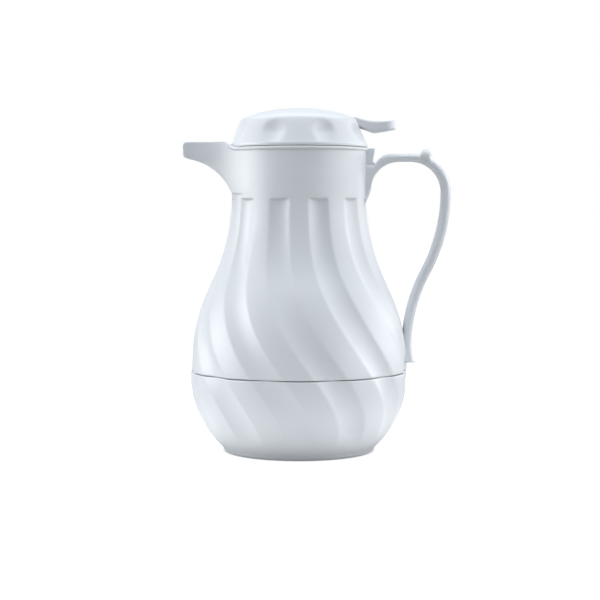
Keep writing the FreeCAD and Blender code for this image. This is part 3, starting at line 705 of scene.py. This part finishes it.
# %% Upper casing, inside
seam_height = 0.0608
seam_rebate_radius = 0.0795
ledge_top = 0.2005
ledge_bottom = 0.198
ledge_radius = 0.0446
ledge_round = 0.0004
inner_round = 0.0008
channel_top = 0.2245
channel_shares = np.linspace(0, 1, 9)[1:]
inner_drops = np.array([0.45, 0.2, 0.06, 0.0]) / 1000
wall_band = (0.066, ledge_bottom, 9)
channel_band = (channel_top, 0.2224, 8)
channel_floor_band = (0.2220, ledge_top, 22)


def wall_ring(z):
    return ring(side_radius(z) - casing_wall, z, column_angle(z))


for level in (seam_edge, seam_height):
    casing_rings.append(ring(seam_rebate_radius, level, column_angle(seam_edge)))
casing_rings += [wall_ring(level) for level in (seam_height, *np.linspace(*wall_band))]
ledge_line = [
    (ledge_radius + ledge_round, ledge_bottom),
    (ledge_radius, ledge_bottom + ledge_round),
    (ledge_radius, ledge_top - ledge_round),
    (ledge_radius + ledge_round, ledge_top),
]
casing_rings += [ring(radius, level, column_angle(flute_top)) for radius, level in ledge_line]
channel_levels = [*np.linspace(*channel_band), *arc_levels(floor_radius, *channel_floor_band)][::-1]
inner_high = rim_inner - inner_round * rim_scale
channel_levels += [channel_top + (inner_high - channel_top) * share for share in channel_shares]
casing_rings += [casing_ring(inside, level) for level in channel_levels]
for drop in inner_drops:
    level = rim_inner - drop * rim_scale
    casing_rings.append(casing_ring(inside, level, edge_tuck(inner_round, drop)))
upper_casing = skin("upper_casing_skin", casing_rings, "server", "white_casing", closed=True)
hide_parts("upper_casing")
print("upper casing:", len(casing_rings), "rings,", len(upper_casing.data.polygons), "faces")

# %% [markdown]
# ## The lower casing
#
# The bowl under the seam carries the same flutes on, so its columns follow the same swirl. It ends
# in a rounded foot ring with a shallow recess inside it, and its top edge is rounded into the
# seam's groove.

# %% Lower casing
foot_outer = 0.0549
foot_inner = 0.0474
foot_round = 0.0014
foot_edge = 0.0030
foot_recess = 0.0025
recess_round = 0.0003
recess_start = foot_inner - 0.0004
recess_radii = (0.04, 0.03, 0.02, 0.012)
floor_thickness = 0.0030
floor_radii = (0.02, 0.035)
fill_hole_radius = 0.0080
bowl_band = (seam_height - 2 * seam_round, foot_edge, 66)
bowl_wall_band = (0.008, seam_height - 0.0002, 20)
bowl_rings = seam_rings(seam_height, -1, [90, 60, 30, 0])
bowl_rings += [fluted_ring(level) for level in np.linspace(*bowl_band)]
edge_radius = float(side_radius(foot_edge))
foot_roll = foot_outer - foot_round - edge_radius
foot_line = []
for turn in np.radians([20, 40, 60, 80, 90]):
    roll = edge_radius + foot_roll * (1 - math.cos(turn))
    foot_line.append((roll, foot_edge * (1 - math.sin(turn))))
for turn in np.radians([0, 30, 60, 90]):
    roll = foot_inner + foot_round * (1 - math.sin(turn))
    foot_line.append((roll, foot_round * (1 - math.cos(turn))))
foot_line.append((foot_inner, foot_recess - recess_round))
for radius in (recess_start, *recess_radii, fill_hole_radius + recess_round):
    foot_line.append((radius, foot_recess))
foot_line.append((fill_hole_radius, foot_recess + recess_round))
floor_level = foot_recess + floor_thickness
for radius in (fill_hole_radius, *floor_radii, float(side_radius(floor_level)) - casing_wall):
    foot_line.append((radius, floor_level))
bowl_rings += [ring(radius, level, column_angle(flute_toe)) for radius, level in foot_line]
bowl_rings += [wall_ring(level) for level in np.linspace(*bowl_wall_band)]
lower_casing = skin("lower_casing_skin", bowl_rings, "server", "white_casing", closed=True)
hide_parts("lower_casing")
print("lower casing:", len(bowl_rings), "rings,", len(lower_casing.data.polygons), "faces")

# %% [markdown]
# ## The lid's dome
#
# The dome is a shallow crown that rolls over into a leaning side. The two lines, crown and side,
# are joined by a soft minimum, and the result is cut into even steps, one for each ring.

# %% Line of the dome
lid_bottom = 0.2303
lid_side_foot = (0.0511, 0.2329)
lid_shoulder = (0.0440, 0.2522)
lid_top = 0.2600
lid_wall = 0.0026
shoulder_softness = 0.0034
crown_band = (0.0004, 0.040, 120)
roll_band = (0.0402, lid_side_foot[0], 200)
dome_rings = 96
crown_radius = rise_radius(lid_shoulder[0], lid_top - lid_shoulder[1])
side_slope = (lid_shoulder[1] - lid_side_foot[1]) / (lid_side_foot[0] - lid_shoulder[0])
side_lean = math.atan2(1, side_slope)
dense_reach = np.concatenate([np.linspace(*crown_band), np.linspace(*roll_band)])
crown_line = lid_top - crown_radius + chord(crown_radius, dense_reach)
side_line = lid_shoulder[1] + (lid_shoulder[0] - dense_reach) * side_slope
dense_dome = np.stack([dense_reach, soft_min(crown_line, side_line, shoulder_softness)], 1)
dome_line = evenly(dense_dome, dome_rings)
print("dome line:", len(dome_line), "points, lean of the side", round(math.degrees(side_lean), 1))

# %% [markdown]
# ## The finger scoops
#
# Eight finger scoops are pressed into the lid's side, round at the top and narrow at the rim. They
# are a depth field on the dome's rings: where two shapes meet, the soft maximum gives the blurred
# edge of a moulding.

# %% Finger scoops
scoop_count = 8
scoop_depth = 0.0027
scoop_toe_depth = 0.0007
scoop_head_height = 0.2412
scoop_curve = 0.0150
scoop_softness = 0.0009
plain_level = -4 * scoop_softness
lid_columns = 384
lid_turn = (np.arange(lid_columns) + 0.5) * 2 * np.pi / lid_columns
inner_step, inner_least, inner_gap = 3, 0.0006, 0.0001
skirt_line = [(0.05118, 0.23288), (0.0514, 0.23284), (0.0517, 0.2328), (0.0519, 0.23268)]
skirt_line += [(0.0520, 0.2324), (0.0520, 0.2308), (0.0519, 0.23048), (0.0516, lid_bottom)]
skirt_line += [(0.0497, lid_bottom), (0.0494, 0.2306)]


def scoop_at(reach, z):
    """How deep the scoops are at one ring of the dome."""
    pitch = 2 * np.pi / scoop_count
    aside = reach * ((lid_turn % pitch) - pitch / 2)
    climb = (z - scoop_head_height) / math.cos(side_lean)
    if climb > 0:
        middle = scoop_depth - climb**2 / (2 * scoop_curve)
    else:
        length = (scoop_head_height - lid_bottom) / math.cos(side_lean)
        middle = scoop_depth + (scoop_toe_depth - scoop_depth) * min(1, -climb / length)
    plain = soft_max(plain_level, 0, scoop_softness)
    return soft_max(middle - aside**2 / (2 * scoop_curve), 0, scoop_softness) - plain


def lid_ring(reach, z, scooped=True):
    press = np.maximum(scoop_at(reach, z), 0) * scooped
    out = reach - press * math.cos(side_lean)
    return ring(out, z - press * math.sin(side_lean), lid_turn)


lid_rings = [lid_ring(*point) for point in dome_line]
lid_rings += [lid_ring(*point, scooped=False) for point in skirt_line]
dome_along = np.gradient(dome_line, axis=0)
dome_square = np.stack([-dome_along[:, 1], dome_along[:, 0]], 1)
dome_square /= np.linalg.norm(dome_square, axis=1)[:, None]
inner_dome = dome_line - dome_square * lid_wall * np.sign(dome_square[0, 1])
for reach, level in inner_dome[::-1][::inner_step]:
    if reach > inner_least:
        lid_rings.append(lid_ring(reach, level - inner_gap))
lid_cover = skin("lid_cover_skin", lid_rings, "lid", "white_lid", tips=True)
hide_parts("lid_cover")
deepest = scoop_at(lid_side_foot[0], scoop_head_height).max()
print("lid:", len(lid_rings), "rings, deepest scoop", round(deepest * 1000, 2), "mm")

# %% [markdown]
# ## The lever's slot
#
# The thumb lever leaves the dome through a slot with straight walls, so a boolean cuts it. The
# result is cleaned: doubled points are welded, and faces with many corners are cut up.

# %% Cut the lever's slot
slot_low = (0.0330, -0.0085, 0.2395)
slot_high = (0.060, 0.0085, 0.2640)
slot_crease = math.radians(48)
most_corners = 4


def cut_box(piece, low, high):
    """Cuts a box out of a piece and keeps the result as the piece's own mesh."""
    x, y, z = zip(low, high)
    points = [(x[i], y[j], z[k]) for i in (0, 1) for j in (0, 1) for k in (0, 1)]
    faces = [(0, 1, 3, 2), (4, 6, 7, 5), (0, 4, 5, 1), (2, 3, 7, 6), (0, 2, 6, 4), (1, 5, 7, 3)]
    mesh = bpy.data.meshes.new("slot_cutter")
    mesh.from_pydata(points, [], faces)
    cutter = bpy.data.objects.new("slot_cutter", mesh)
    scene.collection.objects.link(cutter)
    boolean = piece.modifiers.new("cut", "BOOLEAN")
    boolean.operation = "DIFFERENCE"
    boolean.object = cutter
    boolean.solver = "EXACT"
    shown = piece.evaluated_get(bpy.context.evaluated_depsgraph_get())
    result = bpy.data.meshes.new_from_object(shown)
    cleaned = bmesh.new()
    cleaned.from_mesh(result)
    bmesh.ops.remove_doubles(cleaned, verts=cleaned.verts, dist=weld_distance)
    wide = [face for face in cleaned.faces if len(face.verts) > most_corners]
    bmesh.ops.triangulate(cleaned, faces=wide)
    bmesh.ops.dissolve_degenerate(cleaned, dist=weld_distance, edges=cleaned.edges)
    cleaned.to_mesh(result)
    cleaned.free()
    piece.modifiers.remove(boolean)
    piece.data = result
    bpy.data.objects.remove(cutter)


cut_box(lid_cover, slot_low, slot_high)
slot_split = lid_cover.modifiers.new("crisp_corners", "EDGE_SPLIT")
slot_split.split_angle = slot_crease
print("lid after the slot:", len(lid_cover.data.polygons), "faces")

# %% [markdown]
# ## The handle's lines
#
# The handle is a band that leaves the neck, arches over and swings down to the belly. Its back and
# its palm side are two lines of arcs and straight runs in the plane y = 0.

# %% Lines of the handle
handle_top = 0.2257
handle_reach = 0.1152
top_band = 0.0061
back_band = 0.0075
palm_setback = 0.0014
outer_bend_radius = 0.029018
outer_bend = (handle_reach - outer_bend_radius, handle_top - outer_bend_radius)
hidden_x = 0.0490
notch_floor = (0.0580, 0.2179)
crest_x = 0.0700
root_face = 0.0543
root_low = 0.1840
root_bend = 0.0220
root_centre = (root_face + root_bend, handle_top - top_band - root_bend)
handle_waist = 0.0796
waist_back = 0.0860
waist_palm = 0.0785
swing_share = 0.53
run_points, crest_points, root_points, bend_points, swing_points = 40, 60, 80, 120, 80
handle_foot = 0.0676
foot_back = [(waist_back, handle_waist), (0.0863, 0.0757), (0.0872, 0.0716), (0.0885, handle_foot)]
foot_palm = [(waist_palm, handle_waist), (0.0770, 0.0757), (0.0735, handle_foot)]
crest_radius = rise_radius(crest_x - notch_floor[0], handle_top - notch_floor[1])
crest_centre = (crest_x, handle_top - crest_radius)


def turn_to(centre, point):
    """The direction from a centre to a point, in degrees."""
    return math.degrees(math.atan2(point[1] - centre[1], point[0] - centre[0]))


def arc(centre, radius, start, end, count):
    """Points on an arc, from one angle to another, in degrees."""
    turn = np.radians(np.linspace(start, end, count))
    return np.stack([centre[0] + radius * np.cos(turn), centre[1] + radius * np.sin(turn)], 1)


def straight(*points):
    """Points along straight runs."""
    return np.concatenate([np.linspace(a, b, run_points) for a, b in zip(points, points[1:])])


swing_start = (handle_reach, outer_bend[1])
back_a, back_joint, back_b = s_bend(swing_start, (waist_back, handle_waist), swing_share)
back_a_radius = abs(handle_reach - back_a[0])
back_b_radius = abs(back_b[0] - waist_back)
joint_turn = -turn_to(back_a, back_joint)


def swing(inset):
    """The long bend behind the fingers, set in from the back."""
    upper = arc(back_a, back_a_radius - inset, 0, -joint_turn, swing_points)
    lower = arc(back_b, back_b_radius + inset, 180 - joint_turn, 180, swing_points)
    return np.concatenate([upper, lower])


palm_top = handle_top - top_band
palm_bend = (outer_bend[0] - palm_setback, outer_bend[1])
crest = arc(crest_centre, crest_radius, turn_to(crest_centre, notch_floor), 90, crest_points)
root_arc = arc(root_centre, root_bend, 180, 90, root_points)
back_lines = [
    np.concatenate([straight((hidden_x, notch_floor[1]), notch_floor), crest]),
    straight((crest_x, handle_top), (outer_bend[0], handle_top)),
    arc(outer_bend, outer_bend_radius, 90, 0, bend_points),
    swing(0.0),
    straight(*foot_back),
]
palm_lines = [
    np.concatenate([straight((hidden_x, root_low), (root_face, root_centre[1])), root_arc]),
    straight((root_centre[0], palm_top), (palm_bend[0], palm_top)),
    arc(palm_bend, outer_bend_radius - top_band, 90, 0, bend_points),
    swing(back_band),
    straight(*foot_palm),
]
print("handle swing: radii", round(back_a_radius, 4), "and", round(back_b_radius, 4))

# %% [markdown]
# ## The handle's band
#
# The two lines are walked together, and a rounded section is set between them at every step. A
# small tooth near the top stops the thumb, and a lug closes the gap between the handle's root and
# the rim.

# %% Handle band with its thumb tooth
handle_half_width = 0.0095
step_counts = (44, 12, 110, 90, 16)
section_points = 56
section_power, root_power, foot_power = 2.5, 2.5, 1.5
root_part, foot_part = 0.2, 0.1
tooth_blur = [0.25, 0.5, 0.25]
# The tooth's height, by the angle on the outer bend in degrees.
tooth_line = [(9.5, 0), (11.6, 0.0005), (13.2, 0.0030), (14.8, 0.0044), (18, 0.0050), (22, 0.0053)]
tooth_line += [(23.6, 0.0052), (25.0, 0.0043), (27.0, 0.0022), (29.2, 0.0003), (31, 0)]


def walk(lines):
    """One line through all the given ones, in the handle's steps."""
    parts = [evenly(line, count)[:-1] for line, count in zip(lines, step_counts)]
    return np.concatenate(parts + [lines[-1][-1:]])


def powered(wave, power):
    """A sine or cosine raised to a power, with its sign kept."""
    return np.sign(wave) * np.abs(wave) ** power


back_walk, palm_walk = walk(back_lines), walk(palm_lines)
from_bend = back_walk - np.array(outer_bend)
bend_turn = np.degrees(np.arctan2(from_bend[:, 0], from_bend[:, 1]))
on_bend = (from_bend[:, 1] > 0) & (from_bend[:, 0] > 0)
tooth = np.interp(bend_turn, *zip(*tooth_line)) * on_bend
for _ in range(2):
    tooth = np.convolve(np.pad(tooth, 1, mode="edge"), tooth_blur, mode="valid")
back_walk = back_walk + from_bend / np.linalg.norm(from_bend, axis=1)[:, None] * tooth[:, None]
section_turn = np.arange(section_points) * 2 * np.pi / section_points
handle_rings = []
for step, (back, palm) in enumerate(zip(back_walk, palm_walk)):
    share = step / (len(back_walk) - 1)
    near_root = smooth_step(1 - share / root_part)
    near_foot = smooth_step((share - 1 + foot_part) / foot_part)
    power = 2 / (section_power + root_power * near_root + foot_power * near_foot)
    toward = powered(np.cos(section_turn), power)
    across = handle_half_width * powered(np.sin(section_turn), power)
    middle, half = (back + palm) / 2, (back - palm) / 2
    section = [middle[0] + half[0] * toward, across, middle[1] + half[1] * toward]
    handle_rings.append(np.stack(section, 1))
handle = skin("handle_skin", handle_rings, "server", "white_casing", tips=True)
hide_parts("handle")
print("handle:", len(handle_rings), "sections, tooth", round(tooth.max() * 1000, 1), "mm high")

# %% Lug at the handle's root
lug_line = [(hidden_x, 0.2295), (0.0575, 0.2295), (0.0558, 0.2195)]
lug_line += [notch_floor, (notch_floor[0], 0.2140), (hidden_x, 0.2140)]
lug_half = 0.0071
lug_corner = 0.0007
lug_points = [(x, side * lug_half, z) for side in (-1, 1) for x, z in lug_line]
lug_sides = len(lug_line)
lug_faces = [list(range(lug_sides))[::-1], [lug_sides + k for k in range(lug_sides)]]
lug_faces += ring_faces(2, lug_sides).tolist()
handle_lug = new_piece("handle_lug", lug_points, lug_faces, finish_of["white_casing"])
lug_bevel = handle_lug.modifiers.new("soft_corners", "BEVEL")
lug_bevel.width = lug_corner
lug_bevel.segments = 3
handle_lug.modifiers.new("even_shading", "WEIGHTED_NORMAL")
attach(handle_lug, "server")
print("lug:", lug_sides, "corners")

# %% [markdown]
# ## The lid's thread
#
# The stopper screws into the liner's mouth. Two steep ridges on the stopper and two inside the
# mouth, halfway between them, rise by the same 32 mm a turn. That is the lift that the packed
# joint gives the lid, so the ridges slide past each other as it turns. Each is a tapered section
# swept along a helix.

# %% Thread ridges
thread_lead = 0.032
thread_half_height = 0.0014
thread_end_height = 0.35
thread_taper_turn = 14.0
thread_start_turn = 30
# The section: share of the way from base to crest, share of the half height.
thread_side = [(0.0, 1.0), (0.55, 0.82), (0.9, 0.55), (1.0, 0.3)]
thread_section = [(out, -up) for out, up in thread_side] + thread_side[::-1]
# Base radius, crest radius, span in degrees, lowest level, body and node.
ridge_kinds = {
    "stopper_thread": (0.0354, 0.0375, 190, 0.1778, "lid", "stopper_body"),
    "mouth_thread": (0.0397, 0.0371, 100, 0.1858, "server", "inner_liner"),
}


def thread_ridge(name, start_turn, base, crest, span, start_level, body, node_name):
    """One ridge on a helix that fades in and out at its ends."""
    sections = []
    for turn in np.linspace(0, span, span + 1):
        grow = smooth_step(min(turn, span - turn) / thread_taper_turn)
        tall = thread_half_height * (thread_end_height + (1 - thread_end_height) * grow)
        level = start_level + thread_lead * turn / 360
        angle = math.radians(start_turn + turn)
        section = []
        for out, up in thread_section:
            reach = base + (crest - base) * grow * out
            section.append((reach * math.cos(angle), reach * math.sin(angle), level + up * tall))
        sections.append(section)
    return skin(name, sections, body, slot_of_node[node_name], tips=True)


ridges = []
for start in (0, 1):
    for kind, shape in ridge_kinds.items():
        ridges.append(thread_ridge(f"{kind}_{start}", 180 * start + thread_start_turn, *shape))
print("thread ridges:", [ridge.name for ridge in ridges])

# %% [markdown]
# ## The valve's spring
#
# The coil spring sits between the valve's disc and a washer under the lid. When the lever lifts
# the valve, a rigid spring would let the disc cut into it. The coil is swept anew inside the
# packed spring's box.

# %% Valve spring
spring_wire = 0.0007
spring_turns = 6
steps_in_turn = 40
wire_points = 14
spring_low, spring_high = (Vector(corner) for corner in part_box("valve_spring"))
spring_length = spring_high.z - spring_low.z
spring_steps = spring_turns * steps_in_turn
coil_radius = (spring_high.x - spring_low.x) / 2 - spring_wire
coil_middle = (spring_low + spring_high) / 2
coil_rise = spring_length - 2 * spring_wire
wire_turn = np.arange(wire_points) * 2 * np.pi / wire_points
wire_reach = coil_radius + spring_wire * np.cos(wire_turn)
wire_level = spring_low.z + spring_wire + spring_wire * np.sin(wire_turn)
coil_rings = []
for step in range(spring_steps + 1):
    angle = 2 * math.pi * step / steps_in_turn
    x = coil_middle.x + wire_reach * math.cos(angle)
    y = coil_middle.y + wire_reach * math.sin(angle)
    coil_rings.append(np.stack([x, y, wire_level + coil_rise * step / spring_steps], 1))
coil = skin("valve_spring_coil", coil_rings, "lid", "steel", tips=True)
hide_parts("valve_spring")
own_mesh(coil)
print("spring:", spring_turns, "turns,", round(spring_length * 1000, 1), "mm long at rest")

# %% [markdown]
# ## Camera
#
# The photograph is a plain catalogue picture. The camera stands a little above the middle of the
# server, looks slightly down and uses a long lens, so that upright lines stay nearly upright.

# %% Camera
camera_place = Vector((0.0, -1.168, 0.185))
camera_aim = Vector((0.0008, 0.0, 0.1146))
camera_data = bpy.data.cameras.new("photo_camera")
camera_data.sensor_width = 36.0
camera_data.lens = 92.05
camera = bpy.data.objects.new("photo_camera", camera_data)
camera.location = camera_place
camera.rotation_mode = "QUATERNION"
camera.rotation_quaternion = (camera_aim - camera_place).to_track_quat("-Z", "Y")
scene.collection.objects.link(camera)
scene.camera = camera
print("camera:", tuple(camera_place), "lens", camera_data.lens)

# %% [markdown]
# ## Floor
#
# The background of the picture is plain white, with only a thin dark line where the foot stands.
# So the camera sees a white paper with a dark contact ring, a painted contact shadow, and a ring
# of paper round the server glows unseen, a painted glow that gives it a soft bounce of light.

# %% Floor
floor_reach = 6.0
floor_hole = 0.02
floor_steps, floor_sides = 24, 96
table_level = -0.00005
paper_dark, paper_pale = (0.12, 0.127, 0.133, 1), (0.14, 0.147, 0.153, 1)
bounce_low, bounce_high = (0.20, 0.206, 0.212, 1), (1.08, 1.11, 1.14, 1)
# The dark colour here is a painted contact shadow: a thin ring round the foot, seen by the camera.
painted_contact_shadow, paper_white = (0.10, 0.105, 0.115, 1), (0.96, 0.96, 0.96, 1)
contact_shadow_start, contact_shadow_end = 0.0535, 0.0590
# The bounce is a painted glow: the paper between these radii glows for rays the camera doesn't
# send.
bounce_start, bounce_peak, bounce_end = 0.060, 0.11, 0.20


def pale_paper(tree):
    where = object_place(tree)
    grain = noise(tree, where, scale=400.0, detail=3.0)
    away = new_node(tree, "ShaderNodeVectorMath", {0: where}, operation="LENGTH").outputs["Value"]
    # Painted glow: the paper glows in a ring round the server, unseen by the camera, in place of
    # bounced light.
    near = mapped(tree, away, bounce_start, bounce_peak)
    far = mapped(tree, away, bounce_peak, bounce_end, new_low=1.0, new_high=0.0)
    bounce = mixed(tree, math_step(tree, "MULTIPLY", near, far), bounce_low, bounce_high)
    # Painted contact shadow: the paper the camera sees darkens in a ring round the foot.
    contact_shadow_share = mapped(tree, away, contact_shadow_start, contact_shadow_end)
    seen = new_node(tree, "ShaderNodeLightPath").outputs["Is Camera Ray"]
    glow = mixed(tree, seen, bounce, mixed(tree, contact_shadow_share, painted_contact_shadow, paper_white))
    return {
        "Base Color": mixed(tree, grain, paper_dark, paper_pale),
        "Roughness": 0.85,
        "Specular IOR Level": 0.0,
        "Emission Color": glow,
        "Emission Strength": 1.0,
    }


floor_turn = np.arange(floor_sides) * 2 * np.pi / floor_sides
floor_points = []
for share in np.linspace(0, 1, floor_steps):
    reach = floor_hole + floor_reach * share**2
    floor_points += ring(reach, table_level, floor_turn).tolist()
floor_faces = ring_faces(floor_steps, floor_sides)[:, ::-1].tolist()
floor_faces.append(list(range(floor_sides)))
floor = new_piece("pale_floor", floor_points, floor_faces, finish("pale_paper", pale_paper))
print("floor reaches", floor_reach, "m")

# %% [markdown]
# ## Studio light
#
# Large soft lights stand low at both sides, the left one narrower and brighter. A ring of light
# above shapes the dome, and little light comes from the front, which leaves the middle of the body
# a cool grey. All of it is drawn into the world by direction.

# %% Studio light
side_tint = (0.985, 1.0, 1.02)
top_tint = (0.93, 1.0, 1.06)
backdrop_white = (1.0, 1.0, 1.0, 1)
left_level, right_level = 6.6, 3.4
back_level, behind_level, top_level = 0.20, 0.40, 2.0
world = bpy.data.worlds.new("studio")
scene.world = world
world.use_nodes = True
sky = world.node_tree
generated = new_node(sky, "ShaderNodeTexCoord").outputs["Generated"]
direction = new_node(sky, "ShaderNodeSeparateXYZ", {"Vector": generated}).outputs


def zone(axis, low, high):
    """Rises from 0 to 1 between two values of a direction, eased at both ends."""
    return mapped(sky, direction[axis], low, high, ease="SMOOTHSTEP")


def both(first, second):
    return math_step(sky, "MULTIPLY", first, second)


low_zone = zone("Z", 0.5, 0.2)
# Each light: where it is, its tint and its level.
lights = [
    (both(zone("X", -0.81, -0.98), low_zone), side_tint, left_level),
    (both(zone("X", 0.50, 0.86), low_zone), side_tint, right_level),
    (zone("Y", -0.3, 0.3), side_tint, back_level),
    (zone("Y", 0.78, 0.94), side_tint, behind_level),
    (both(zone("Z", 0.5, 0.8), zone("Z", 1.12, 0.80)), top_tint, top_level),
]
studio = None
for mask, tint, level in lights:
    colour = (*(part * level for part in tint), 1)
    light = mixed(sky, 1.0, colour, mask, blend="MULTIPLY")
    studio = mixed(sky, 1.0, studio, light, blend="ADD") if studio else light
seen = new_node(sky, "ShaderNodeLightPath").outputs["Is Camera Ray"]
shown_sky = mixed(sky, seen, studio, backdrop_white)
feed(sky, sky.nodes["Background"], {"Color": shown_sky})
scene.view_settings.view_transform = "Standard"
scene.view_settings.look = "None"
print("studio lights:", len(lights))

# %% [markdown]
# ## Finish
#
# The view layer is brought up to date once more.

# %% Finish
bpy.context.view_layer.update()
